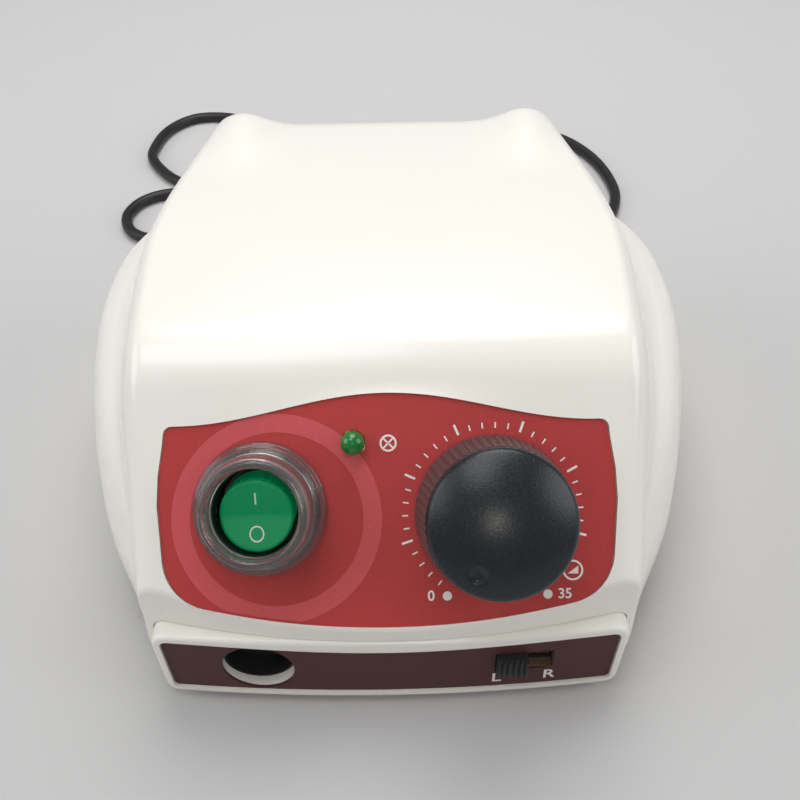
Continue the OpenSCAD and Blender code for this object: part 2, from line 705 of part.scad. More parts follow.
// Direction switch: slide through a slot
slider_h = slot_h - 2 * fit;
slider_out = 1.9;
module direction_frame() {
    color(steel) facing_front(slide_x, slide_z) difference() {
        translate([0, 0, -slide_seat - 1]) linear_extrude(1) difference() {
            square([26, 9], center = true);
            square([slot_w, slot_h], center = true);
            for (x = [-1, 1]) translate([x * 11, 0]) circle(d = 2.2);
        }
    }
}
module direction_base() {
    color([0.45, 0.33, 0.2]) facing_front(slide_x, slide_z) {
        difference() {
            translate([0, 0, -slide_seat - 8]) plate(20, 9, 7);
            translate([0, 0, -slide_seat - 5.5]) plate(slot_w + 3, slot_h + 0.8, 6);
        }
        for (x = [-5, 0, 5], y = [-2.2, 2.2])
            translate([x - 0.5, y - 0.3, -slide_seat - 12]) cube([1, 0.6, 4.2]);
    }
}
module direction_slider() {
    color(black) facing_front(slide_x - slide_travel / 2, slide_z) {
        translate([0, 0, -slide_seat - 1.4 - 3.4]) plate(slider_w + 2.4, slot_h, 3.4);
        difference() {
            translate([0, 0, -slide_seat - 2])
                plate(slider_w, slider_h, slide_seat + 2 + slider_out - frame_y(slide_x));
            for (i = [-2 : 2])
                translate([i * 1.2 - 0.3, -5, slider_out - frame_y(slide_x) - 0.7])
                    cube([0.6, 10, 2]);
        }
    }
}

// Power board on four posts
module circuit_board() {
    color([0.16, 0.4, 0.2]) in_case() translate([board_at[0], board_at[1], board_z])
        linear_extrude(1.6) difference() {
            square(board_size, center = true);
            for (p = board_post_at) translate([p[0] - board_at[0], p[1] - board_at[1]])
                circle(d = screw_d + fit);
        }
}
module board_posts() {
    color(white) in_case() for (p = board_post_at)
        translate([p[0], p[1], tray_top + 1.5]) difference() {
            cylinder(d = 6, h = board_z - tray_top - 1.5);
            translate([0, 0, -1]) cylinder(d = screw_d + 0.1, h = 20);
        }
}
module board_screws() {
    color(steel) in_case() for (p = board_post_at)
        translate([p[0], p[1], board_z + 1.6]) screw(screw_d, 8.2);
}
part_z = board_z + 1.6;
part_gap = 2.5;
can_r = 8;
can_h = 25;
can_x = -5;
can_span = 2 * can_r + 2;
module capacitors() {
    color([0.13, 0.18, 0.32]) in_case() for (i = [-0.5, 0.5])
        translate([can_x + i * can_span, board_at[1] + 6, part_z]) rotate_extrude() polygon([
            [0, 0], [can_r, 0], [can_r, 2], [can_r - 0.4, 2.6], [can_r, 3.2], [can_r, can_h - 0.6],
            [can_r - 0.6, can_h], [can_r - 1.4, can_h - 0.4], [0, can_h - 0.4]]);
}
bridge_x = 21 - board_size[0] / 2;
bridge_w = 15;
bridge_h = 12;
module bridge_rectifier() {
    color(black) in_case() translate([bridge_x, board_at[1] - 11, part_z]) {
        plate(bridge_w, 4, bridge_h);
        translate([0, 0, bridge_h - thin]) plate(bridge_w - 3, 4, 2);
    }
}
sink_x = board_size[0] / 2 - 13;
sink_t = 3;
sink_w = 20;
sink_h = 26;
module heat_sink() {
    color([0.5, 0.52, 0.55]) in_case() translate([sink_x, board_at[1] + 1, part_z]) {
        plate(sink_t, sink_w, sink_h);
        for (i = [-3 : 3]) translate([5.5, i * 3.1, 0]) plate(9, 1.2, sink_h);
    }
}
module power_transistor() {
    color(black) in_case() translate([sink_x - 3.7, board_at[1] + 1, part_z]) {
        translate([0, 0, 5]) plate(4.4, 10, 9);
        translate([1.6, 0, 13.9]) plate(1.2, 10, 6);
        for (y = [-2.5, 0, 2.5]) translate([0, y, 0]) plate(0.6, 0.8, 5.2);
    }
}
block_from = bridge_x + bridge_w / 2 + part_gap;
block_to = sink_x - sink_t / 2 - part_gap;
block_w = block_to - block_from;
block_pitch = block_w / 5.2;
module terminal_block() {
    color([0.12, 0.35, 0.18]) in_case()
        translate([(block_from + block_to) / 2, board_at[1] - 12, part_z]) difference() {
            plate(block_w, 8, 10);
            for (i = [-2 : 2]) {
                translate([block_pitch * i, 1, 3]) cylinder(d = 3.2, h = 10);
                translate([block_pitch * i - 1.5, -6, 1.5]) cube([3, 6, 3]);
            }
        }
}

// Mains transformer in its bracket
coil_over = 8;
limb = core_w / 6;
window_h = core_h - 2 * limb;
core_z = tray_top + bracket_t;
module core_shape() {
    difference() {
        square([core_w, core_h]);
        for (x = [limb, core_w - 2 * limb]) translate([x, limb]) square([limb, window_h]);
    }
}
module transformer_core() {
    color([0.4, 0.4, 0.42]) in_case()
        translate([-core_w / 2, core_y + core_stack / 2, core_z]) rotate([90, 0, 0])
            linear_extrude(core_stack) core_shape();
}
module transformer_coil() {
    mid = core_z + core_h / 2;
    color([0.75, 0.6, 0.25]) in_case() translate([0, core_y, mid]) difference() {
        union() {
            translate([0, 0, -window_h / 2 + 1]) linear_extrude(window_h - 2)
                polygon([for (x = [-1, 1], a = [0 : 30 : 90]) let (r = 4, i = x < 0 ? 90 - a : a)
                    each [[x * (core_w / 2 - limb - 1.2 - r + r * cos(i)),
                        core_stack / 2 + coil_over - 1 - r + r * sin(i)]]]);
            translate([0, 0, -window_h / 2 + 1]) linear_extrude(window_h - 2)
                square([core_w - 2 * limb - 2.4, core_stack + 2 * coil_over - 10], center = true);
            mirror([0, 1, 0]) translate([0, 0, -window_h / 2 + 1]) linear_extrude(window_h - 2)
                polygon([for (x = [-1, 1], a = [0 : 30 : 90]) let (r = 4, i = x < 0 ? 90 - a : a)
                    each [[x * (core_w / 2 - limb - 1.2 - r + r * cos(i)),
                        core_stack / 2 + coil_over - 1 - r + r * sin(i)]]]);
            for (z = [-window_h / 2 + 0.2, window_h / 2 - 1.4])
                translate([0, 0, z])
                    plate(core_w - 2 * limb - 0.6, core_stack + 2 * coil_over, 1.2);
        }
        translate([-limb - fit, -core_stack / 2 - fit, -window_h])
            cube([2 * limb + 2 * fit, core_stack + 2 * fit, 2 * window_h]);
    }
}
module transformer_bracket() {
    color(steel) in_case() translate([0, core_y, tray_top]) difference() {
        union() {
            for (x = [-1, 1]) {
                translate([x * (core_w / 2 + fit + bracket_t / 2), 0, 0])
                    plate(bracket_t, core_stack - 4, core_h + bracket_t + fit);
                translate([x * (core_w / 2 + 5.5), 0, 0])
                    plate(11, core_stack - 10, bracket_t);
            }
            translate([0, 0, core_h + bracket_t + fit])
                plate(core_w + 2 * fit + 2 * bracket_t, core_stack - 4, bracket_t);
            plate(core_w + 2, core_stack - 10, bracket_t);
        }
        for (x = [-1, 1]) translate([x * bracket_hole_x, 0, -1])
            cylinder(d = screw_d + fit, h = 4);
    }
}
module transformer_screws() {
    color(steel) in_case() for (x = [-1, 1])
        translate([x * bracket_hole_x, core_y, tray_top + bracket_t]) screw(screw_d, 3.6);
}

// Rear panel with fuse holder, pedal jack and cord gland
fuse_hole_d = 12.6;
jack_hole_d = 9.2;
gland_hole_d = 11;
module rear_panel() {
    color([0.2, 0.2, 0.21]) in_case() difference() {
        translate([-rear_w_plate / 2 + fit, case_d - rear_t, rear_z - rear_h_plate / 2 + fit])
            cube([rear_w_plate - 2 * fit, rear_t, rear_h_plate - 2 * fit]);
        for (h = [[fuse_x, fuse_z, fuse_hole_d], [jack_x, jack_z, jack_hole_d],
                [gland_x, gland_z, gland_hole_d]])
            translate([h[0], case_d - 5, h[1]]) rotate([-90, 0, 0]) cylinder(d = h[2], h = 10);
        for (p = rear_screw_at) translate([p[0], case_d - 5, p[1]])
            rotate([-90, 0, 0]) cylinder(d = rear_screw_d + fit, h = 10);
    }
}
module rear_screws() {
    color(steel) for (p = rear_screw_at)
        facing_rear(p[0], case_d, p[1]) screw(rear_screw_d, 5);
}
holder_len = 24;
holder_bore = 8;
fuse_flange = 15.6;
module fuse_holder() {
    color(black) facing_rear(fuse_x, case_d, fuse_z) difference() {
        union() {
            cylinder(d = fuse_flange, h = 2.2);
            translate([0, 0, -holder_len]) cylinder(d = fuse_hole_d - fit, h = holder_len + 1);
            translate([-1.5, -0.4, -holder_len - 4]) cube([3, 0.8, 6]);
        }
        translate([0, 0, -holder_len + 4]) cylinder(d = holder_bore + 0.4, h = holder_len + 10);
        translate([0, 0, -3]) cylinder(d = 10.4, h = 10);
    }
}
module fuse_nut() {
    color(black) facing_rear(fuse_x, case_d - rear_t - 3.1, fuse_z)
        hex_nut(17, fuse_hole_d + 0.1, 3);
}
cap_skirt_d = 10.4 - 2 * run_fit;
module fuse_cap() {
    color(black) facing_rear(fuse_x, case_d, fuse_z) difference() {
        union() {
            translate([0, 0, -2.6]) cylinder(d = cap_skirt_d, h = 6);
            translate([0, 0, 2.6]) cylinder(d = 13.4, h = fuse_cap_out - 3.4);
            translate([0, 0, fuse_cap_out - 0.8 - thin]) cylinder(d1 = 13.4, d2 = 11.8, h = 0.8);
        }
        translate([-0.8, -8, fuse_cap_out - 2]) cube([1.6, 16, 4]);
        translate([0, 0, -4]) cylinder(d = 6.4, h = 5);
        for (a = [0 : 20 : 340]) rotate([0, 0, a])
            translate([13.4 / 2 + 0.5, 0, 3.6]) cylinder(d = 1.8, h = 10);
    }
}
module fuse() {
    color([0.85, 0.88, 0.88]) facing_rear(fuse_x, case_d, fuse_z) {
        translate([0, 0, -19.2]) cylinder(d = 4.8, h = 20);
        for (z = [-19.4, -4.4]) translate([0, 0, z]) cylinder(d = 5.2, h = 5.2);
    }
}
jack_w = 16;
jack_h = 18;
jack_len = 20;
jack_bore = 6.4;
module pedal_jack() {
    color(black) facing_rear(jack_x, case_d, jack_z) difference() {
        union() {
            translate([-jack_w / 2, -jack_h / 2, -rear_t - jack_len])
                cube([jack_w, jack_h, jack_len - 0.1]);
            translate([0, 0, -rear_t - 1]) cylinder(d = jack_hole_d - fit, h = rear_t + 6);
        }
        translate([0, 0, 2 - jack_len]) cylinder(d = jack_bore, h = jack_len + 10);
    }
}
module jack_nut() {
    color(steel) facing_rear(jack_x, case_d + thin, jack_z)
        hex_nut(12.4, jack_hole_d + 0.1, 2.4);
}
gland_out = 18;
module cord_gland() {
    color(black) facing_rear(gland_x, case_d, gland_z) difference() {
        union() {
            translate([0, 0, -rear_t - 3]) cylinder(d = gland_hole_d - fit, h = rear_t + 4);
            translate([0, 0, -rear_t - 3]) cylinder(d = gland_hole_d + 1.4, h = 2.9);
            cylinder(d = gland_hole_d + 2.4, h = 2);
            translate([0, 0, 2 - thin])
                cylinder(d1 = cord_d + 4.6, d2 = cord_d + 2, h = gland_out - 2);
        }
        for (i = [0 : 6]) translate([0, 0, 3.4 + 2 * i]) difference() {
            cylinder(d = 20, h = 0.9);
            translate([0, 0, -1]) cylinder(d = cord_d + 1.8, h = 3);
        }
        translate([0, 0, -rear_t - 4]) cylinder(d = cord_d - 0.6, h = gland_out + 3);
    }
}

// Cord: chosen points, a smooth line through them, and a tube along the line
lie = cord_d / 2 + 0.1;
coil_x = 34;
coil_y = 218;
coil_step = cord_d + 0.7;
coil_in = 4.3 * cord_d;
coil_out = coil_in + coil_turns * coil_step;
coil_lift = 0.5;
coil_z = lie + coil_lift;
coil_low = coil_y - coil_out;
route = [
    [gland_x, case_d + gland_out, gland_z], [gland_x, 163, gland_z], [3.5, 171, 18.8],
    [-3, 179, 13.2], [-14, 184, 7.8], [-28, 186, 3.8], [-54, 185.5, lie], [-82, 184, lie],
    [-93.5, 188.5, lie], [-98, 200, lie], [-93.5, 211, lie], [-82, 216, lie], [-64, 212, lie],
    [-40, 200.5, lie], [-14, 191.5, lie], [14, 185.3, lie], [44, 180, lie], [68, 181.5, lie],
    [79.5, 189.5, lie], [86.2, 205.5, lie], [86.3, 222, lie], [81.5, 239.5, lie],
    [72, 253.8, lie], [58, 260.5, lie], [40, 262.5, lie], [2, 262.3, lie], [-36, 263.5, lie],
    [-54, 270.5, lie], [-69, 278.5, lie], [-83, 278.5, lie], [-92.5, 269.5, lie],
    [-96.5, 256, lie], [-95.5, 242, lie], [-82, 224.5, lie], [-64, 221, lie], [-40, 209.5, lie],
    [-16, 198.5, lie], [8, coil_low + 1.3, lie], [26, coil_low, lie + 0.3],
    [coil_x, coil_low, coil_z]];

function unit(v) = v / norm(v);
function smooth_at(p, i, t) = let (n = len(p) - 1, a = p[max(i - 1, 0)], b = p[i],
    c = p[i + 1], d = p[min(i + 2, n)])
    0.5 * (2 * b + (c - a) * t + (2 * a - 5 * b + 4 * c - d) * t * t
        + (3 * b - a - 3 * c + d) * t * t * t);
function smooth_line(p, k) = concat(
    [for (i = [0 : len(p) - 2], j = [0 : k - 1]) smooth_at(p, i, j / k)], [p[len(p) - 1]]);
function heading(l, i) = let (n = len(l) - 1)
    i == 0 ? unit(l[1] - l[0]) : i == n ? unit(l[n] - l[n - 1]) : unit(l[i + 1] - l[i - 1]);
module tube(l, d, sides) {
    n = len(l);
    pts = [for (i = [0 : n - 1]) let (t = heading(l, i), u = unit(cross(t, [0, 0, 1])),
        v = cross(u, t)) for (j = [0 : sides - 1]) let (a = 360 * j / sides)
            l[i] + d / 2 * (cos(a) * u + sin(a) * v)];
    faces = concat(
        [for (i = [0 : n - 2], j = [0 : sides - 1])
            let (a = i * sides + j, b = i * sides + (j + 1) % sides) each [
                [a, a + sides, b + sides], [a, b + sides, b]]],
        [for (j = [1 : sides - 2]) [0, j, j + 1]],
        [for (j = [1 : sides - 2]) let (e = (n - 1) * sides) [e, e + j + 1, e + j]]);
    polyhedron(pts, faces, convexity = 10);
}
module mains_cord() {
    color(black) in_case() tube(smooth_line(route, 2), cord_d, 8);
}

// Coil: turns spiral in on the floor, climb by one step and spiral out above
coil_climb = 0.3;
coil_end_a = 110;
coil_end = 2 * coil_turns + (coil_end_a + 90) / 360;
function coil_r(t) = t < coil_turns ? coil_out - coil_step * t :
    coil_in + coil_step * max(0, t - coil_turns - coil_climb);
function coil_at(t) = let (r = coil_r(t), a = 360 * t - 90)
    [coil_x + r * cos(a), coil_y + r * sin(a),
        coil_z + coil_step * min(max((t - coil_turns) / coil_climb, 0), 1)];
coil_rings = ceil(coil_end * 24);
coil_tail = coil_at(coil_end);
function along(p, d) = p + d * [-sin(coil_end_a), cos(coil_end_a), 0];
plug_z = coil_tail[2];
coil_line = concat([for (i = [0 : coil_rings]) coil_at(coil_end * i / coil_rings)],
    [along(coil_tail, 3), along(coil_tail, 7)]);
function line_gap(l, skip, d) = let (n = len(l) - 1)
    min([for (i = [0 : n - skip], j = [i + skip : n]) norm(l[i] - l[j])]) - d;
function line_len(l) =
    [for (i = [1 : len(l) - 1]) norm(l[i] - l[i - 1])] * [for (i = [1 : len(l) - 1]) 1];
echo(coil_gap = line_gap(coil_line, 12, cord_d), turns = coil_end);
echo(cord_gap = line_gap(smooth_line(route, 3), 12, cord_d));
echo(cord_length = line_len(smooth_line(route, 6)), coil_length = line_len(coil_line));
module cord_coil() {
    color(black) in_case() tube(coil_line, cord_d, 6);
}
tie_a = 40;
tie_w = 6;
tie_t = 0.4;
module coil_tie() {
    near = coil_in - cord_d / 2 - 0.2;
    far = coil_r(coil_end) + cord_d / 2 + 0.2;
    top = plug_z + cord_d / 2 + 0.1;
    color([0.16, 0.16, 0.17]) in_case() translate([coil_x, coil_y, 0]) rotate([0, 0, tie_a])
        difference() {
            translate([near - tie_t, -tie_w / 2, 0.1])
                cube([far - near + 2 * tie_t, tie_w, top + tie_t - 0.1]);
            translate([near, -tie_w, 0.1 + tie_t])
                cube([far - near, 2 * tie_w, top - tie_t - 0.1]);
        }
}
module at_plug() {
    in_case() translate(along(coil_tail, 7)) rotate([0, 0, coil_end_a + 90]) children();
}
plug_body = 24;
plug_relief = 16;
module mains_plug() {
    color(black) at_plug() {
        rotate([0, 90, 0]) difference() {
            cylinder(d1 = cord_d + 2.4, d2 = 10, h = plug_relief);
            for (i = [0 : 4]) translate([0, 0, 2 + 2.6 * i]) difference() {
                cylinder(d = 20, h = 1.1);
                translate([0, 0, -1]) cylinder(d = cord_d + 1.2, h = 4);
            }
        }
        translate([plug_relief - thin, 0, -7]) difference() {
            linear_extrude(14) polygon([[0, -5], [7, -9], [17, -9.6], [plug_body - 3, -12.5],
                [plug_body, -12.5], [plug_body, 12.5], [plug_body - 3, 12.5], [17, 9.6], [7, 9],
                [0, 5]]);
            for (s = [-1, 1], i = [0 : 3])
                translate([8.4 + 2.2 * i, s * 10, -1]) cylinder(d = 1.6, h = 16);
        }
    }
}
module plug_pins() {
    color(steel) at_plug() translate([plug_relief + plug_body - 0.02, 0, 0])
        for (y = [-1, 1]) translate([0, y * 6.35, 0]) difference() {
            translate([0, -0.75, -3.15]) cube([16, 1.5, 6.3]);
            translate([12, -5, 0]) rotate([-90, 0, 0]) cylinder(d = 3, h = 10);
        }
}

top_cover();
connector_frame();
base_tray();
rubber_feet();
base_screws();
control_overlay();
connector_overlay();
rocker_housing();
rocker_button();
rocker_terminals();
switch_collar();
pilot_lamp();
lamp_leads();
knob_skirt();
knob_cap();
pot_shaft();
potentiometer();
pot_nut();
pot_terminals();
motor_socket();
socket_contacts();
socket_screws();
direction_frame();
direction_base();
direction_slider();
circuit_board();
board_posts();
board_screws();
capacitors();
bridge_rectifier();
heat_sink();
power_transistor();
terminal_block();
transformer_core();
transformer_coil();
transformer_bracket();
transformer_screws();
rear_panel();
rear_screws();
fuse_holder();
fuse_nut();
fuse_cap();
fuse();
pedal_jack();
jack_nut();
cord_gland();
mains_cord();
cord_coil();
coil_tie();
mains_plug();
plug_pins();
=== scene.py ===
"""Looks of a bench control box for a dental micromotor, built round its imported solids."""

import functools
import math

import bmesh
import bpy
from bpy.props import FloatProperty, FloatVectorProperty, IntProperty, PointerProperty
from mathutils import Matrix, Vector


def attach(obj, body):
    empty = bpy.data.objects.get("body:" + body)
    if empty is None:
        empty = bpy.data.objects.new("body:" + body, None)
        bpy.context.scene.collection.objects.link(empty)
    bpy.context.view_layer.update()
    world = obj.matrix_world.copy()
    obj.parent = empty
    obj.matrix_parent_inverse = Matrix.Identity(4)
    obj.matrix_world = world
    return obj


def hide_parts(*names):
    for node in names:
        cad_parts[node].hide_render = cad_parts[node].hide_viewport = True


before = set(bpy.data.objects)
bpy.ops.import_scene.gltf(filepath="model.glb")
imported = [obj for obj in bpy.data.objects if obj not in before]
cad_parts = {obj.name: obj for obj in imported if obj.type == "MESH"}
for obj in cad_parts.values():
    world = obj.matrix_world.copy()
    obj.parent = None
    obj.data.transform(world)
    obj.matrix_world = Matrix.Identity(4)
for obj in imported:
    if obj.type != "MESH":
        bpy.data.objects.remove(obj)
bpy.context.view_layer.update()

bl_info = {
    "name": "Micromotor control box",
    "version": (1, 0, 0),
    "blender": (4, 5, 0),
    "location": "View3D > Sidebar > Control Box",
    "description": "Builds the finished surfaces of a micromotor control box",
    "category": "Object",
}

MM = 0.001
FINISH = "_finish"

# Moulded cover: sizes in millimetres, as in the part's source
REAR_WALL, RIM_Z, FIT = 3.5, 3.0, 0.2
FRONT_W, REAR_W, TOP_W = 105.0, 116.0, 110.0
TOP_FRONT_W, TOP_REAR_W = 98.0, 85.0
FRONT_BOW, BOW_AT, REAR_R = 6.7, 50.0, 10.0
PANEL_FOOT, SLOPE_LEN, BROW_R = 27.4, 50.0, 22.0
TOP_RISE, TOP_FALL = 5.0, 3.5
BULGE_Y, CREASE_Y = 95.0, 75.0
NOSE_R, VALLEY_RUN = 3.0, 20.0
EAR_X, EAR_HALF, EAR_RUN = 38.0, 8.0, 30.0
REAR_PLATE_W, REAR_PLATE_H, REAR_PLATE_T = 84.0, 38.0, 1.5
REAR_PLATE_Z, REAR_LIP = 30.0, 4.0

# Red film on the slope, and the frame on the front wall
PANEL_W, PANEL_T, PANEL_SINK = 94.0, 0.8, 0.4
PANEL_LOW, PANEL_FOLLOW, PANEL_LOW_R = 0.6, 0.78, 11.0
PANEL_SHOULDER, PANEL_SHOULDER_R, PANEL_CROWN = 42.4, 1.8, 6.1
FRAME_W, FRAME_FOOT, FRAME_TOP, FRAME_TAPER = 101.0, RIM_Z - 0.5, 23.4, 0.6
FRAME_R, FRAME_OUT, FRAME_TOP_R, FRAME_LOW_R = 460.0, 0.5, 3.6, 2.8
FRAME_ROUND = 0.9

# Controls, with u and v as their places on the slope
KNOB_U, KNOB_V, KNOB_D, KNOB_H = 21.5, 23.6, 32.0, 17.0
KNOB_GAP, KNOB_FOOT, HUB_R, BUSH_HOLE_D, RIB_DEPTH = 0.8, 1.6, 4.2, 7.6, 0.4
CAP_D, CAP_RIM, CAP_DOME, CAP_EDGE = KNOB_D - 3.4, 2.3, 4.2, 0.6
POINTER_A, POINTER_R, POINTER_HALF, POINTER_DEPTH = -118.0, 10.2, 1.95, 0.75
SWITCH_U, SWITCH_V, SWITCH_HOLE_D = -25.8, 25.4, 20.2
ROCKER_D, ROCKER_TILT, ROCKER_Z, ROCKER_FACE = 14.8, 11.0, 2.5, 3.5
ROCKER_EDGE, ROCKER_SOFT, ROCKER_SIDE, ROCKER_FOOT = 0.7, 0.4, 2.4, -3.0
COLLAR_D, COLLAR_H, COLLAR_LIP_D = 27.2, 12.3, 17.7
NECK_D, NECK_H, FLANGE_D, FLANGE_H = 20.0, 7.0, 23.0, 1.8
LAMP_U, LAMP_V, LAMP_D, LAMP_DOME = -6.8, 38.4, 5.0, 1.6
LAMP_RIM, LAMP_RIM_LOW, LAMP_RIM_TOP = 0.45, -4.4, -3.4
SLIDE_X, SLIDE_Z, SLOT_W, SLOT_H = 28.6, 13.6, 12.6, 6.4
# Walls of painted shade inside the slide's slot: their gap from its sides, and their front and back reach
# behind the frame's face
SHADE_WALL_GAP, SHADE_WALL_FRONT, SHADE_WALL_BACK = 0.05, 1.1, 3.1

# Rear fittings, and the lead with its coil
FUSE_OUT = 11.0
GLAND_X, GLAND_Z, GLAND_OUT = 5.0, 21.6, 18.0
CORD_D = 4.0
CORD_LIE = CORD_D / 2 + 0.1
COIL_X, COIL_Y, COIL_TURNS, COIL_CLIMB, COIL_END_A = 34.0, 218.0, 2, 0.3, 110.0
COIL_STEP, COIL_IN, COIL_LIFT = CORD_D + 0.7, 4.3 * CORD_D, 0.5
COIL_OUT = COIL_IN + COIL_TURNS * COIL_STEP
COIL_TAIL = (3, 7)

# Printed marks
INK_LIFT, ROCKER_INK_LIFT = 0.03, 0.04
RING_U, RING_V, RING_IN, RING_OUT, RING_MARGIN = -22.6, 23.1, 17.7, 21.5, 0.5
SCALE_STEPS, SCALE_GROUP, SCALE_FROM, SCALE_SWEEP = 35, 5, 240.4, 297.5
TICK_IN, TICK_SHORT, TICK_LONG = 17.3, 18.5, 19.6
TICK_HALF, TICK_LONG_HALF = 0.15, 0.24
DOT_US, DOT_V, DOT_R = (11.9, 32.4), 6.8, 0.95
DIGIT_US, DIGIT_SIZE = (8.6, 35.9), 2.9
SIGN_U, SIGN_V, SIGN_IN, SIGN_OUT, SIGN_BAR, SIGN_HALF = 0.4, 38.2, 1.35, 1.75, 1.4, 0.18
WEDGE_U, WEDGE_V, WEDGE_IN, WEDGE_OUT = 37.6, 11.6, 1.7, 2.1
WEDGE_HALF, WEDGE_FALL, WEDGE_RISE = 1.1, 0.7, 0.9
LETTER_XS, LETTER_Z, LETTER_SIZE, STRIP_FACE = (22.8, 34.3), 7.6, 4.5, 0.57
BAR_FROM, BAR_LEN, BAR_HALF = 2.3, 2.5, 0.16
ZERO_Y, ZERO_IN, ZERO_OUT, ZERO_STRETCH = -3.7, 1.2, 1.48, 1.1

# Bump depths, in metres
GRAIN_DEPTH, STREAK_DEPTH, LINE_DEPTH = 0.00008, 0.00005, 0.0001

# Lamps of the stage: name, place and aim in metres, size, share of the key light's power, tint
LAMPS = (
    ("key", (0.02, 0.28, 0.72), (0, 0.02, 0.03), 0.52, 1.0, (1.0, 0.985, 0.96)),
    ("overhead", (-0.16, -0.1, 0.78), (0, -0.03, 0.03), 0.36, 0.36, (0.97, 0.99, 1.0)),
    ("front_fill", (0.0, -0.72, 0.62), (0, -0.05, 0.03), 0.14, 0.31, (1.0, 0.93, 0.82)),
    ("left_fill", (-0.85, -0.1, 0.55), (0, 0, 0.03), 0.7, 1.02, (1.0, 1.0, 1.0)),
    ("right_fill", (0.85, -0.1, 0.5), (0, 0, 0.03), 0.7, 0.98, (1.0, 1.0, 1.0)),
)
ROOM_TINT, ROOM_LIGHT = (0.9, 0.89, 0.89, 1), 0.32
# Floor half-size, and the two places in y between which the floor's painted shade runs from dark in front
# to pale behind
FLOOR_HALF, FLOOR_PAINTED_DARK_Y, FLOOR_PAINTED_LIGHT_Y = 6, -0.16, 0.5

# Camera: its place in millimetres in the case frame, its angles and its lens
EYE_X, EYE_Y, EYE_Z, EYE_TILT, EYE_ROLL = 3.0, -109.4, 193.6, 47.0, -1.1
SENSOR, LENS, NEAREST = 36.0, 42.75, 0.005


def shade(r, g, b):
    """Linear colour of a tint given in 0-255 display values."""
    def lin(v):
        v /= 255
        return v / 12.92 if v <= 0.04045 else ((v + 0.055) / 1.055) ** 2.4
    return (lin(r), lin(g), lin(b))


class BoxSizes(bpy.types.PropertyGroup):
    """Sizes that a user would change; lengths are in metres."""

    width: FloatProperty(name="Width", description="Greatest width across the side bulges",
                         default=0.155, unit="LENGTH")
    depth: FloatProperty(name="Depth", description="Depth from the front wall to the rear wall",
                         default=0.140, unit="LENGTH")
    wall: FloatProperty(name="Wall", description="Thickness of the moulded cover",
                        default=0.0025, unit="LENGTH")
    ear: FloatProperty(name="Ears", description="Height of the two ears at the rear of the top",
                       default=0.0045, unit="LENGTH")
    tilt: FloatProperty(name="Panel slope", description="Slope of the control face from level",
                        default=math.radians(47), subtype="ANGLE")
    rows: IntProperty(name="Rows", description="Points on each span of the cover's section",
                      default=12, min=3, max=24)
    ribs: IntProperty(name="Knob ribs", description="Ribs round the knob's skirt", default=60)
    light: FloatProperty(name="Key light", description="Power of the large lamp above",
                         default=2.58, unit="POWER")


class BoxColours(bpy.types.PropertyGroup):
    """Colours that a user would change."""

    case: FloatVectorProperty(name="Case", description="Moulded cover and frame",
                              subtype="COLOR", default=shade(244, 242, 236))
    face: FloatVectorProperty(name="Control face", description="Red film on the slope",
                              subtype="COLOR", default=shade(180, 60, 60))
    ring: FloatVectorProperty(name="Ring", description="Paler ring printed round the switch",
                              subtype="COLOR", default=shade(202, 84, 90))
    strip: FloatVectorProperty(name="Connector strip", description="Maroon film on the frame",
                               subtype="COLOR", default=shade(80, 46, 46))
    ink: FloatVectorProperty(name="Ink", description="Printed marks",
                             subtype="COLOR", default=shade(238, 232, 228))
    rocker: FloatVectorProperty(name="Rocker", description="Lit rocker",
                                subtype="COLOR", default=shade(4, 150, 92))
    lamp: FloatVectorProperty(name="Lamp", description="Pilot lamp",
                              subtype="COLOR", default=shade(26, 146, 62))
    cap: FloatVectorProperty(name="Knob cap", description="Speckled cap of the speed knob",
                             subtype="COLOR", default=shade(20, 26, 32))
    skirt: FloatVectorProperty(name="Knob skirt", description="Ribbed skirt of the speed knob",
                               subtype="COLOR", default=shade(122, 116, 118))
    # The floor's finish paints shade on this colour: darker in front of the box, paler behind it
    floor: FloatVectorProperty(name="Floor", description="Plain floor under the box",
                               subtype="COLOR", default=shade(202, 202, 203))


def sizes():
    return bpy.context.scene.box_sizes


def colours():
    return bpy.context.scene.box_colours


# Placing: the case frame has y from the front wall, the panel frame lies on the slope
def cap_dome():
    """Radius and height of the edge of the cap's dome, and the dome's own radius."""
    r = CAP_D / 2
    bend = (r * r + CAP_DOME ** 2) / (2 * CAP_DOME)
    edge = r - CAP_EDGE
    return edge, KNOB_H + CAP_RIM + CAP_DOME - bend + math.sqrt(bend ** 2 - edge ** 2), bend


def middle():
    """Halfway from the knob's front edge to the fuse cap's rear."""
    t, (edge, z, _) = sizes().tilt, cap_dome()
    front = (KNOB_V - edge) * math.cos(t) - (z - PANEL_SINK) * math.sin(t)
    return (front + sizes().depth / MM + FUSE_OUT) / 2


def in_case():
    return Matrix.Translation((0, -middle(), 0))


def on_panel(u, v, h=0.0):
    t = sizes().tilt
    place = Matrix.Translation((u, v * math.cos(t), PANEL_FOOT + v * math.sin(t)))
    return in_case() @ place @ Matrix.Rotation(t, 4, "X") @ Matrix.Translation((0, 0, h - PANEL_SINK))


def frame_y(x):
    return FRAME_R - FRAME_OUT - math.sqrt(FRAME_R ** 2 - x * x)


# Mesh makers, in millimetres
def linked(name, data):
    obj = bpy.data.objects.new(name, data)
    bpy.context.scene.collection.objects.link(obj)
    return obj


def settled(obj):
    """A new mesh of an object with its modifiers or its text made real."""
    bpy.context.view_layer.update()
    return bpy.data.meshes.new_from_object(obj.evaluated_get(bpy.context.evaluated_depsgraph_get()))


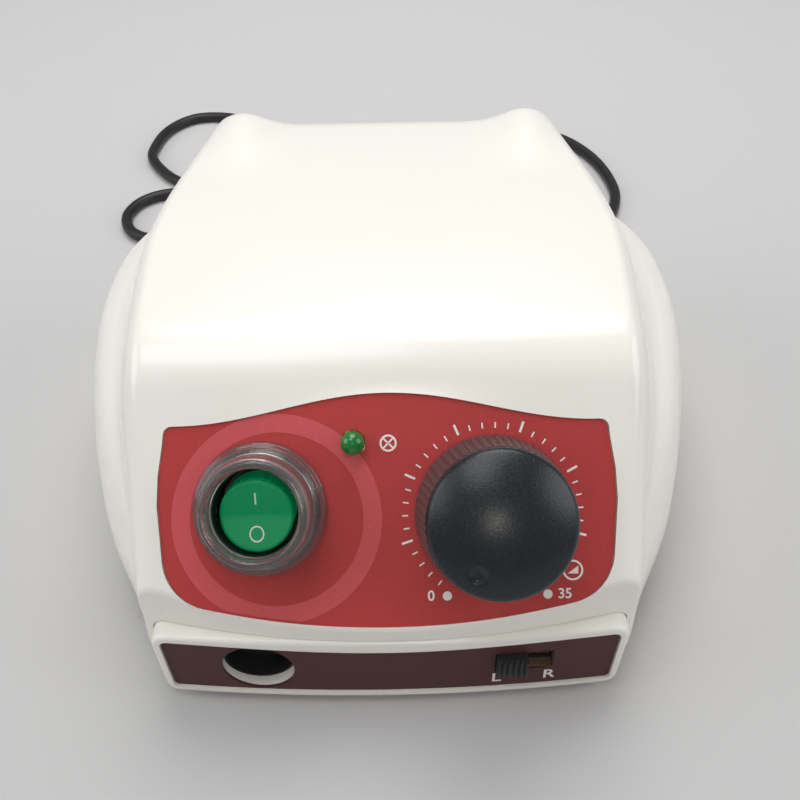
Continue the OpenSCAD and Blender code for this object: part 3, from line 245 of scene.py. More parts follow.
def piece(name, verts, faces, finish, body, place=None, slot=None, instead=(), crease=35.0, uv=None):
    """A named mesh in the row frame that rides on a body and takes a finish."""
    place = place or Matrix.Identity(4)
    mesh = bpy.data.meshes.new(name)
    mesh.from_pydata([(place @ Vector(v)) * MM for v in verts], [], faces)
    if uv is not None:
        layer = mesh.uv_layers.new(name="Face")
        for loop in mesh.loops:
            layer.data[loop.index].uv = uv[loop.vertex_index]
    return adopt(name, mesh, finish, body, instead, crease)


def adopt(name, mesh, finish, body, instead=(), crease=35.0):
    """A mesh made into a piece; edges sharper than the crease stay sharp."""
    mesh.validate()
    mesh.update()
    mesh.materials.clear()
    mesh.materials.append(finish)
    mesh.shade_smooth()
    mesh.set_sharp_from_angle(angle=math.radians(crease))
    obj = linked(name, mesh)
    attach(obj, body)
    if instead:
        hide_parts(*instead)
    return obj


def circle(r, n, u=0.0, v=0.0):
    turns = [2 * math.pi * i / n for i in range(n)]
    return [(u + r * math.cos(a), v + r * math.sin(a)) for a in turns]


def oblong(x, y):
    return [(-x, -y), (x, -y), (x, y), (-x, y)]


def ring_quads(r_in, r_out, n, u=0.0, v=0.0):
    """Flat four-sided faces round a ring."""
    inner, outer = circle(r_in, n, u, v), circle(r_out, n, u, v)
    return [[inner[i], outer[i], outer[(i + 1) % n], inner[(i + 1) % n]] for i in range(n)]


def lathe(profile, count, closed=False, wave=None):
    """Points and faces of a profile of (radius, height) turned about z."""
    verts, faces, rows = [], [], len(profile)
    for i in range(count):
        a = 2 * math.pi * i / count
        for j, (r, z) in enumerate(profile):
            q = r + (wave(i, j) if wave else 0)
            verts.append((q * math.cos(a), q * math.sin(a), z))
    spans = rows if closed else rows - 1
    for i in range(count):
        k = (i + 1) % count
        for j in range(spans):
            m = (j + 1) % rows
            faces.append((i * rows + j, k * rows + j, k * rows + m, i * rows + m))
    if not closed:
        for j in (0, rows - 1):
            if profile[j][0] > 1e-6:
                loop = [i * rows + j for i in range(count)]
                faces.append(tuple(reversed(loop)) if j == 0 else tuple(loop))
    return verts, faces


def rounded(points, radius, steps=4):
    """An open line with its inner corners rounded."""
    out = [points[0]]
    for a, b, c in zip(points, points[1:], points[2:]):
        a, b, c = Vector(a), Vector(b), Vector(c)
        r = min(radius, (a - b).length * 0.45, (c - b).length * 0.45)
        p, q = b + (a - b).normalized() * r, b + (c - b).normalized() * r
        for i in range(steps + 1):
            t = i / steps
            out.append(tuple((1 - t) ** 2 * p + 2 * t * (1 - t) * b + t * t * q))
    return out + [points[-1]]


def prism(outline, low, high):
    n = len(outline)
    verts = [(x, y, low) for x, y in outline] + [(x, y, high) for x, y in outline]
    faces = [tuple(range(n - 1, -1, -1)), tuple(range(n, 2 * n))]
    faces += [(i, (i + 1) % n, n + (i + 1) % n, n + i) for i in range(n)]
    return verts, faces


def weld(mesh):
    bm = bmesh.new()
    bm.from_mesh(mesh)
    bmesh.ops.remove_doubles(bm, verts=bm.verts, dist=1e-6)
    bmesh.ops.recalc_face_normals(bm, faces=bm.faces)
    bm.to_mesh(mesh)
    bm.free()


def softened(node, finish, body, edge, steps=2, only=None):
    """A copy of a solid with its sharp edges rounded, shown in its place."""
    mesh = bpy.data.meshes.new(node + "_soft")
    bm = bmesh.new()
    bm.from_mesh(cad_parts[node].data)
    bmesh.ops.remove_doubles(bm, verts=bm.verts, dist=2e-6)
    bmesh.ops.dissolve_limit(bm, angle_limit=math.radians(0.2), verts=bm.verts, edges=bm.edges)
    sharp = [e for e in bm.edges if len(e.link_faces) == 2
             and e.calc_face_angle(0) > math.radians(40) and (only is None or only(e))]
    bmesh.ops.bevel(bm, geom=sharp, offset=edge * MM, offset_type="OFFSET", segments=steps,
                    profile=0.5, affect="EDGES", clamp_overlap=True)
    bmesh.ops.recalc_face_normals(bm, faces=bm.faces)
    bm.to_mesh(mesh)
    bm.free()
    for name in [a.name for a in mesh.attributes if a.name == "custom_normal"]:
        mesh.attributes.remove(mesh.attributes[name])
    return adopt(node + "_soft", mesh, finish, body, (node,), 38.0)


def kept(node, finish):
    """A solid shown as it is, with a finish of its own."""
    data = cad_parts[node].data
    data.materials.clear()
    data.materials.append(finish)


def carved(name, mesh, cutters):
    """The mesh less each of the cutters in turn."""
    obj = linked(name, mesh)
    tools = []
    for verts, faces, place in cutters:
        m = bpy.data.meshes.new("cutter")
        m.from_pydata([(place @ Vector(v)) * MM for v in verts], [], faces)
        weld(m)
        tool = linked("cutter", m)
        mod = obj.modifiers.new("cut", "BOOLEAN")
        mod.operation, mod.solver, mod.object = "DIFFERENCE", "EXACT", tool
        tools.append(tool)
    out = settled(obj)
    for o in tools + [obj]:
        bpy.data.objects.remove(o)
    return out


# Shared effects: shader groups that give values over the surface
def noise(tree, scale_from, detail, coords):
    n = tree.nodes.new("ShaderNodeTexNoise")
    n.inputs["Detail"].default_value = detail
    tree.links.new(coords, n.inputs["Vector"])
    tree.links.new(scale_from, n.inputs["Scale"])
    return n.outputs["Fac"]


def spread(tree, value, low, high, to_low=0.0, to_high=1.0):
    m = tree.nodes.new("ShaderNodeMapRange")
    for label, v in (("From Min", low), ("From Max", high), ("To Min", to_low), ("To Max", to_high)):
        m.inputs[label].default_value = v
    tree.links.new(value, m.inputs["Value"])
    return m.outputs["Result"]


def shared_effect(name, outputs, **inputs):
    """A shader group with these sockets, built the first time that it is asked for."""
    def wrap(build):
        @functools.wraps(build)
        def get():
            if name in bpy.data.node_groups:
                return bpy.data.node_groups[name]
            tree = bpy.data.node_groups.new(name, "ShaderNodeTree")
            value = {"socket_type": "NodeSocketFloat"}
            for label, default in inputs.items():
                socket = tree.interface.new_socket(name=label.replace("_", " "), in_out="INPUT", **value)
                socket.default_value = default
            for label in outputs:
                tree.interface.new_socket(name=label, in_out="OUTPUT", **value)
            into, out = tree.nodes.new("NodeGroupInput"), tree.nodes.new("NodeGroupOutput")
            build(tree, into.outputs, out.inputs)
            return tree
        return get
    return wrap


@shared_effect("Moulded grain", ("Tone", "Grain", "Specks"),
               Tone_scale=40.0, Grain_scale=1500.0, Speck_scale=2600.0)
def moulded_grain(tree, into, out):
    """Cloudy tone, fine grain and sparse specks over a moulded surface."""
    at = tree.nodes.new("ShaderNodeTexCoord").outputs["Object"]
    for scale, detail, low, high, label in (("Tone scale", 3.0, 0.3, 0.7, "Tone"),
                                            ("Grain scale", 2.0, 0.25, 0.75, "Grain"),
                                            ("Speck scale", 0.0, 0.66, 0.74, "Specks")):
        tree.links.new(spread(tree, noise(tree, into[scale], detail, at), low, high), out[label])


@shared_effect("Fine lines", ("Lines",), Pitch=1.0)
def fine_lines(tree, into, out):
    """Crossed fine lines, as on the lens of a lit switch, from the face's own map."""
    uv = tree.nodes.new("ShaderNodeUVMap")
    uv.uv_map = "Face"
    crossed = tree.nodes.new("ShaderNodeMath")
    crossed.operation = "MULTIPLY"
    for way, side in zip(("X", "Y"), crossed.inputs):
        w = tree.nodes.new("ShaderNodeTexWave")
        w.wave_type, w.bands_direction, w.wave_profile = "BANDS", way, "SIN"
        tree.links.new(uv.outputs["UV"], w.inputs["Vector"])
        tree.links.new(into["Pitch"], w.inputs["Scale"])
        tree.links.new(w.outputs["Fac"], side)
    tree.links.new(crossed.outputs[0], out["Lines"])


@shared_effect("Drawn streaks", ("Streaks",), Scale=400.0)
def drawn_streaks(tree, into, out):
    """Streaks of turned or rolled metal."""
    at = tree.nodes.new("ShaderNodeTexCoord").outputs["Object"]
    fit = tree.nodes.new("ShaderNodeMapping")
    fit.inputs["Scale"].default_value = (0.08, 1.0, 1.0)
    tree.links.new(at, fit.inputs["Vector"])
    n = noise(tree, into["Scale"], 4.0, fit.outputs["Vector"])
    tree.links.new(spread(tree, n, 0.3, 0.7), out["Streaks"])


# Kinds of finish
def made_once(make):
    """A finish is made the first time that its name is asked for."""
    @functools.wraps(make)
    def get(name, *args, **values):
        return bpy.data.materials.get(name + FINISH) or make(name + FINISH, *args, **values)
    return get


def blank(name):
    """A new material, its node tree and its Principled shader."""
    mat = bpy.data.materials.new(name)
    mat.use_nodes = True
    return mat, mat.node_tree, mat.node_tree.nodes["Principled BSDF"]


def tuned(node, **values):
    """Sets a node's own sockets, with low lines in place of spaces in their names."""
    for label, v in values.items():
        node.inputs[label.replace("_", " ")].default_value = v
    return node


def placed(tree, effect, **values):
    """The outputs of a shared effect put into a material with its own values."""
    node = tree.nodes.new("ShaderNodeGroup")
    node.node_tree = effect
    return tuned(node, **values).outputs


def blended(tree, fac, a, b):
    mix = tree.nodes.new("ShaderNodeMix")
    mix.data_type = "RGBA"
    tree.links.new(fac, mix.inputs[0])
    for socket, c in ((mix.inputs[6], a), (mix.inputs[7], b)):
        if isinstance(c, bpy.types.NodeSocket):
            tree.links.new(c, socket)
        else:
            socket.default_value = (*c[:3], 1)
    return mix.outputs[2]


def scaled(colour, by):
    return tuple(min(1.0, c * by) for c in colour[:3])


def raised(tree, shader, height, strength, distance):
    bump = tuned(tree.nodes.new("ShaderNodeBump"), Strength=strength, Distance=distance)
    tree.links.new(height, bump.inputs["Height"])
    tree.links.new(bump.outputs["Normal"], shader.inputs["Normal"])


@made_once
def moulded(name, colour, rough=(0.3, 0.4), tone=40.0, grain=1500.0, contrast=0.06, depth=0.15,
            specks=0.0, speck_scale=2600.0, **sockets):
    """A moulded or printed finish: cloudy tone, fine grain, and specks if asked for."""
    mat, tree, shader = blank(name)
    g = placed(tree, moulded_grain(), Tone_scale=tone, Grain_scale=grain, Speck_scale=speck_scale)
    base = blended(tree, g["Tone"], scaled(colour, 1 - contrast), scaled(colour, 1 + contrast))
    if specks:
        base = blended(tree, g["Specks"], base, scaled(colour, 1 + specks))
    tree.links.new(base, shader.inputs["Base Color"])
    tree.links.new(spread(tree, g["Grain"], 0, 1, *rough), shader.inputs["Roughness"])
    raised(tree, shader, g["Grain"], depth, GRAIN_DEPTH)
    tuned(shader, **sockets)
    return mat


@made_once
def metal(name, colour, rough=(0.2, 0.4), scale=400.0, depth=0.12):
    """A drawn or turned metal with fine streaks."""
    mat, tree, shader = blank(name)
    streaks = placed(tree, drawn_streaks(), Scale=scale)["Streaks"]
    tone = blended(tree, streaks, scaled(colour, 0.85), scaled(colour, 1.1))
    tree.links.new(tone, shader.inputs["Base Color"])
    tree.links.new(spread(tree, streaks, 0, 1, *rough), shader.inputs["Roughness"])
    raised(tree, shader, streaks, depth, STREAK_DEPTH)
    tuned(shader, Metallic=1.0)
    return mat


@made_once
def lit_lens(name, colour, glow, pitch):
    """Tinted lens with crossed fine lines, lit a little from inside."""
    mat, tree, shader = blank(name)
    lines = placed(tree, fine_lines(), Pitch=pitch)["Lines"]
    tone = blended(tree, lines, scaled(colour, 0.72), scaled(colour, 1.15))
    tree.links.new(tone, shader.inputs["Base Color"])
    tree.links.new(tone, shader.inputs["Emission Color"])
    tree.links.new(spread(tree, lines, 0, 1, 0.32, 0.2), shader.inputs["Roughness"])
    raised(tree, shader, lines, 0.35, LINE_DEPTH)
    tuned(shader, Emission_Strength=glow, Specular_IOR_Level=0.3)
    return mat


@made_once
def clear(name, colour, rough=(0.04, 0.1), ior=1.49, through=1.0):
    """Clear moulded plastic or glass with a faint cloud in its polish."""
    mat, tree, shader = blank(name)
    g = placed(tree, moulded_grain(), Tone_scale=90.0)
    tree.links.new(blended(tree, g["Tone"], scaled(colour, 0.94), colour), shader.inputs["Base Color"])
    tree.links.new(spread(tree, g["Grain"], 0, 1, *rough), shader.inputs["Roughness"])
    tuned(shader, Transmission_Weight=through, IOR=ior)
    return mat


@made_once
def paper_with_painted_shade(name, colour):
    """Plain paper with painted shade: darker towards the front, paler towards the back."""
    mat, tree, shader = blank(name)
    axes = tree.nodes.new("ShaderNodeSeparateXYZ")
    tree.links.new(tree.nodes.new("ShaderNodeTexCoord").outputs["Object"], axes.inputs[0])
    # Painted shade and light: the colour runs from 0.86 of itself at the front to 1.22 at the back,
    # standing in for the box's shadow and the fall of the lamps' light
    painted_falloff = spread(tree, axes.outputs["Y"], FLOOR_PAINTED_DARK_Y, FLOOR_PAINTED_LIGHT_Y)
    tone = blended(tree, painted_falloff, scaled(colour, 0.86), scaled(colour, 1.22))
    tree.links.new(tone, shader.inputs["Base Color"])
    g = placed(tree, moulded_grain())
    tree.links.new(spread(tree, g["Grain"], 0, 1, 0.6, 0.75), shader.inputs["Roughness"])
    return mat


# Finishes of this object
# Floor finish with painted shade in front and painted light behind
def floor_paper():
    return paper_with_painted_shade("floor_paper", colours().floor)


def case_white():
    return moulded("case_white", colours().case, (0.2, 0.27), tone=14.0, grain=900.0, contrast=0.012,
                   depth=0.05, Coat_Weight=0.25, Coat_Roughness=0.12)


def film(name, colour):
    return moulded(name, colour, (0.46, 0.58), tone=30.0, grain=2400.0, contrast=0.05, depth=0.2,
                   specks=0.1, speck_scale=1900.0, Specular_IOR_Level=0.28)


def ink():
    return moulded("printed_ink", colours().ink, (0.45, 0.55), tone=200.0, contrast=0.03, depth=0.05)


def rocker_lens():
    return lit_lens("rocker_lens", colours().rocker, 0.22, 0.62)


def smoke_clear():
    return clear("smoke_clear", shade(214, 208, 208), (0.05, 0.09), 1.45, 0.9)


def fuse_glass():
    return clear("fuse_glass", (0.9, 0.93, 0.93))


def lamp_green():
    return moulded("lamp_green", colours().lamp, (0.12, 0.18), tone=260.0, contrast=0.2, depth=0.03,
                   Coat_Weight=0.4, Transmission_Weight=0.3)


def knob_smoke():
    return moulded("knob_skirt", colours().skirt, (0.3, 0.4), grain=1900.0, contrast=0.06, depth=0.05,
                   Transmission_Weight=0.7, IOR=1.45)


def knob_slate():
    return moulded("knob_slate", colours().cap, (0.24, 0.4), tone=60.0, grain=2600.0, contrast=0.07,
                   depth=0.22, specks=1.2)


def black_plastic():
    return moulded("black_plastic", shade(26, 26, 28), (0.42, 0.58), grain=1800.0, contrast=0.15)


def socket_black():
    return moulded("socket_black", shade(30, 30, 32), (0.35, 0.5), contrast=0.2)


def slide_beige():
    return moulded("slide_base", shade(120, 98, 74), (0.45, 0.6), contrast=0.12)


def plate_black():
    return moulded("rear_plate", shade(38, 38, 40), (0.45, 0.62), grain=1100.0, contrast=0.12, depth=0.4)


def tray_grey():
    return moulded("tray_grey", shade(214, 213, 208), (0.45, 0.6), grain=1000.0, contrast=0.04, depth=0.3)


def foot_rubber():
    return moulded("foot_rubber", shade(34, 34, 34), (0.7, 0.85), grain=1300.0, contrast=0.15, depth=0.4)


def lead_sheath():
    return moulded("lead_sheath", shade(24, 24, 26), (0.38, 0.5), tone=120.0, grain=2200.0, contrast=0.2)


def plug_moulding():
    return moulded("plug_moulding", shade(28, 28, 30), (0.42, 0.56), contrast=0.15, depth=0.25)


def board_green():
    return moulded("board_green", shade(46, 104, 60), (0.3, 0.45), tone=160.0, contrast=0.2)


def post_white():
    return moulded("post_white", shade(226, 226, 222), (0.4, 0.55))


def can_sleeve():
    return moulded("can_sleeve", shade(40, 52, 92), (0.25, 0.35), contrast=0.1)


def coil_tape():
    return moulded("coil_tape", shade(196, 158, 84), (0.4, 0.55), tone=120.0, contrast=0.12)


def steel():
    return metal("zinc_steel", (0.62, 0.63, 0.65))


def brass():
    return metal("contact_brass", (0.78, 0.58, 0.26), (0.18, 0.34))


def control_can():
    return metal("control_can", (0.6, 0.6, 0.58), (0.3, 0.5))


def slide_plate():
    return metal("slide_plate", (0.4, 0.34, 0.26), (0.4, 0.55))


def sink_aluminium():
    return metal("sink_aluminium", (0.66, 0.68, 0.7), (0.35, 0.5))


def core_iron():
    return metal("core_iron", (0.34, 0.34, 0.36), (0.4, 0.6), 900.0, 0.4)


# The moulded cover, by the same rules as its solid, with many more rows
def ease(t):
    c = min(max(t, 0.0), 1.0)
    return c * c * (3 - 2 * c)


def between(a, b):
    return ((a[0] + b[0]) / 2, (a[1] + b[1]) / 2)


def mirrored(row):
    """A whole row from its right half, which starts on the middle line."""
    return [(-x, y, z) for x, y, z in reversed(row[1:])] + row


def run(a, b, n):
    return [a + (b - a) * i / n for i in range(n)]


class Cover:
    """Side profile, plan and section of the cover."""

    def __init__(self):
        s = sizes()
        self.w, self.d, self.wall, self.ear_h = s.width / MM, s.depth / MM, s.wall / MM, s.ear / MM
        self.tan, t = math.tan(s.tilt), s.tilt
        self.brow_y0 = SLOPE_LEN * math.cos(t)
        brow_z0 = PANEL_FOOT + SLOPE_LEN * math.sin(t)
        self.brow_cy = self.brow_y0 + BROW_R * math.sin(t)
        self.brow_cz = brow_z0 - BROW_R * math.cos(t)
        rise, fall = math.radians(TOP_RISE), math.radians(TOP_FALL)
        self.top_y0 = self.brow_cy - BROW_R * math.sin(rise)
        self.top_y1 = self.d - REAR_R + REAR_R * math.sin(fall)
        self.top_r = (self.top_y1 - self.top_y0) / (math.sin(rise) + math.sin(fall))
        self.top_cy = self.top_y0 + self.top_r * math.sin(rise)
        self.top_cz = self.brow_cz + BROW_R * math.cos(rise) - self.top_r * math.cos(rise)
        self.rear_cy = self.d - REAR_R
        self.rear_cz = self.top_cz + (self.top_r - REAR_R) * math.cos(fall)
        self.nose = NOSE_R * math.tan((math.pi / 2 - t) / 2)
        self.nose_end = self.nose * math.cos(t)

    def top(self, y):
        if y < self.brow_y0:
            return PANEL_FOOT + y * self.tan
        if y < self.top_y0:
            return self.brow_cz + math.sqrt(BROW_R ** 2 - (y - self.brow_cy) ** 2)
        if y < self.top_y1:
            return self.top_cz + math.sqrt(self.top_r ** 2 - (y - self.top_cy) ** 2)
        return self.rear_cz + math.sqrt(max(0.0, REAR_R ** 2 - (y - self.rear_cy) ** 2))

    def bulge(self, y):
        if y < BULGE_Y:
            return self.w / 2 - (self.w - FRONT_W) / 2 * ((BULGE_Y - y) / BULGE_Y) ** 1.6
        return self.w / 2 - (self.w - REAR_W) / 2 * ((y - BULGE_Y) / (self.d - BULGE_Y)) ** 3.2

    def crease(self, y):
        if y < CREASE_Y:
            return TOP_W / 2 - (TOP_W - TOP_FRONT_W) / 2 * ((CREASE_Y - y) / CREASE_Y) ** 1.2
        return TOP_W / 2 - (TOP_W - TOP_REAR_W) / 2 * ((y - CREASE_Y) / (self.d - CREASE_Y)) ** 1.7

    def bow(self, x, s):
        return FRONT_BOW * (x / BOW_AT) ** 2 * (1 - ease(s / self.brow_y0))

    def nose_drop(self, s):
        if s >= self.nose_end:
            return 0.0
        return self.nose + s * self.tan - math.sqrt(max(0.0, NOSE_R ** 2 - (NOSE_R - s) ** 2))

    def ear(self, x, y):
        return (self.ear_h * math.exp(-((abs(x) - EAR_X) / EAR_HALF) ** 2)
                * ease((y - self.top_y1 + EAR_RUN) / EAR_RUN) * (1 - ease((y - self.rear_cy) / REAR_R)))

    def section(self, s, inset, k):
        """Right half of a section as (x, share of the height), top middle to rim."""
        c, b = self.crease(s) - inset, self.bulge(s) - inset + 0.3
        g = ease(s / VALLEY_RUN)
        p = [(0, 1), (c - 5, 1), (c, 0.995), (c + 3.5, 0.87), (c + (0.8 - 0.42 * g) * (b - c), 0.67),
             (b - 1 - 3 * g, 0.6), (b, 0.43), (b - 0.6, 0.12), (b - 2.3, 0)]
        n, out = len(p) - 1, []
        for i in range(1, n):
            a = p[0] if i == 1 else between(p[i - 1], p[i])
            e = p[n] if i == n - 1 else between(p[i], p[i + 1])
            for j in range(k):
                t = j / k
                out.append(tuple((1 - t) ** 2 * a[m] + 2 * t * (1 - t) * p[i][m] + t * t * e[m]
                                 for m in (0, 1)))
        return out + [p[n]]

    def half(self, s, inset, k):
        row = []
        for x, share in self.section(s, inset, k):
            y = s + self.bow(x, s)
            if inset == 0:
                roof = self.top(y) - self.nose_drop(s)
                lift = self.ear(x, y) * ease((share - 0.8) / 0.2)
            else:
                roof = min(self.top(y - 0.73 * inset), self.top(min(y + REAR_WALL, self.d))) - inset
                lift = 0.0
            row.append((x, y, RIM_Z + share * (roof - RIM_Z) + lift))
        return row

    def foot(self, row, s):
        m = len(row) - 1
        xs = [0 if i == 0 else min(row[i][0], row[m][0] - (m - i) * 0.3 / sizes().rows)
              for i in range(m + 1)]
        return [(x, s + self.bow(x, s), RIM_Z) for x in xs]

    def stations(self):
        """Places along the depth, close together where the form turns."""
        ears = self.top_y1 - EAR_RUN
        nose = [self.nose_end * (1 - math.cos(math.pi / 2 * i / 8)) for i in range(8)]
        rear = [self.rear_cy + REAR_R * math.sin(math.radians(a)) for a in range(4, 88, 6)]
        return (nose + run(self.nose_end, self.brow_y0, 16) + run(self.brow_y0, self.top_y0, 18)
                + run(self.top_y0, BULGE_Y, 16) + run(BULGE_Y, ears, 2) + run(ears, self.top_y1, 24)
                + rear + [self.d])

    def skin(self, at, inset, base):
        """Points, faces and rim loop of one skin, numbered from base."""
        halves = [self.half(s, inset, sizes().rows) for s in at]
        w, n = 2 * len(halves[0]) - 1, len(at)
        verts = [v for h in halves for v in mirrored(h)]
        for end in (0, -1):
            verts += mirrored(self.foot(halves[end], at[end]))[1:-1]
        last = base + (n - 1) * w

        def foot_id(j, back):
            if j in (0, w - 1):
                return (last if back else base) + j
            return base + n * w + (w - 2 if back else 0) + j - 1
        faces = []
        for i in range(n - 1):
            row, following = base + i * w, base + (i + 1) * w
            faces += [(row + j, following + j, following + j + 1, row + j + 1) for j in range(w - 1)]
        for j in range(w - 1):
            front = (foot_id(j, False), base + j, base + j + 1, foot_id(j + 1, False))
            rear = (foot_id(j, True), foot_id(j + 1, True), last + j + 1, last + j)
            faces += [tuple(dict.fromkeys(front)), tuple(dict.fromkeys(rear))]
        loop = [foot_id(j, False) for j in range(w)] + [base + i * w + w - 1 for i in range(1, n - 1)]
        loop += [foot_id(j, True) for j in range(w - 1, -1, -1)]
        loop += [base + i * w for i in range(n - 2, 0, -1)]
        return verts, faces, loop

    def mesh(self):
        """Outer and inner skin joined round the rim, as one closed mesh."""
        rows = self.stations()
        shorter = (self.d - self.wall - REAR_WALL) / self.d
        verts, faces, outer = self.skin(rows, 0.0, 0)
        more, turned, inner = self.skin([self.wall + s * shorter for s in rows], self.wall, len(verts))
        faces += [tuple(reversed(f)) for f in turned]
        m = len(outer)
        faces += [(outer[i], outer[(i + 1) % m], inner[(i + 1) % m], inner[i]) for i in range(m)]
        mesh = bpy.data.meshes.new("case_cover")
        place = in_case()
        mesh.from_pydata([(place @ Vector(v)) * MM for v in verts + more], [], faces)
        weld(mesh)
        return mesh


def arc(cx, cy, r, angles):
    turns = [math.radians(a) for a in angles]
    return [(cx + r * math.cos(t), cy + r * math.sin(t)) for t in turns]


def panel_low(u):
    return PANEL_LOW + FRONT_BOW * (u / BOW_AT) ** 2 / math.cos(sizes().tilt) * PANEL_FOLLOW


def panel_outline():
    """Outline of the red film on the slope, right half first."""
    half, r, n = PANEL_W / 2, PANEL_LOW_R, 18
    foot, corner, crest = half - r, PANEL_SHOULDER_R, half - 5
    side = [(foot * i / 12, panel_low(foot * i / 12)) for i in range(13)]
    side += arc(foot - 0.8, panel_low(foot) + r, r, [-80 + 76 * i / n for i in range(1, n + 1)])
    side += [(half - 1.3 * ((i - 1) / 2) ** 2, 20 + 6.2 * i) for i in (1, 2, 3)]
    side += arc(half - 3.3, PANEL_SHOULDER - corner, corner, range(0, 91, 15))
    for i in range(28):
        u = crest * (1 - i / 28)
        side.append((u, PANEL_SHOULDER + PANEL_CROWN * (1 + math.cos(math.pi * u / (half - 4))) / 2))
    side.append((0, PANEL_SHOULDER + PANEL_CROWN))
    return side + [(-u, v) for u, v in reversed(side[1:-1])]


def frame_outline(inset):
    """Outline of the connector frame seen from the front, right half first."""
    half, low, high = FRAME_W / 2 - inset, FRAME_FOOT + inset, FRAME_TOP - inset
    r, r_low = FRAME_TOP_R - inset, FRAME_LOW_R - inset
    side = arc(half - FRAME_TAPER - r_low, low + r_low, r_low, range(-90, 1, 10))
    side += arc(half - r, high - r, r, range(0, 91, 10))
    return side + [(-x, z) for x, z in reversed(side)]


def gap_to(p, a, b):
    """Distance of a point from the line between two others."""
    along = min(max((p - a).dot(b - a) / (b - a).length_squared, 0), 1)
    return (p - a - (b - a) * along).length


class CaseCover(bpy.types.Operator):
    """Moulded cover with its valleys, ears and panel recess, and the frame on its front wall"""
    bl_idname = "control_box.case_cover"
    bl_label = "Case cover"

    def cutters(self, d):
        """Frame gap, rear plate's seat and window, film's recess and control holes."""
        past, window_in, hole_in, hole_out = 6, 7, 8, 4
        front = in_case() @ Matrix.Rotation(math.pi / 2, 4, "X")
        rear = (in_case() @ Matrix.Translation((0, d - REAR_PLATE_T, REAR_PLATE_Z))
                @ Matrix.Rotation(-math.pi / 2, 4, "X"))
        window = rear @ Matrix.Translation((0, 0, -window_in))
        x, z = REAR_PLATE_W / 2, REAR_PLATE_H / 2
        cuts = [(*prism(frame_outline(-FIT), -FRONT_BOW - 5, past), front),
                (*prism(oblong(x, z), 0, past), rear),
                (*prism(oblong(x - REAR_LIP, z - REAR_LIP), 0, 2 * past), window),
                (*prism(panel_outline(), -PANEL_T, past), on_panel(0, 0))]
        for u, v, dia in ((SWITCH_U, SWITCH_V, SWITCH_HOLE_D), (KNOB_U, KNOB_V, BUSH_HOLE_D),
                          (LAMP_U, LAMP_V, LAMP_D + FIT)):
            cuts.append((*prism(circle(dia / 2, 64), -hole_in, hole_out), on_panel(u, v)))
        return cuts

    def execute(self, context):
        cover = Cover()
        mesh = carved("case_cover", cover.mesh(), self.cutters(cover.d))
        adopt("case_cover", mesh, case_white(), "box", ("top_cover",), 30)
        outline = [Vector(p) for p in frame_outline(0)]
        to_case, close = in_case().inverted(), 0.2

        def on_rim(p):
            q = to_case @ (p / MM)
            sides = zip(outline, outline[1:] + outline[:1])
            near = min(gap_to(Vector((q.x, q.z)), a, b) for a, b in sides)
            return abs(q.y - frame_y(q.x)) < close and near < close
        softened("connector_frame", case_white(), "box", FRAME_ROUND, 4,
                 only=lambda e: all(on_rim(v.co) for v in e.verts))
        return {"FINISHED"}


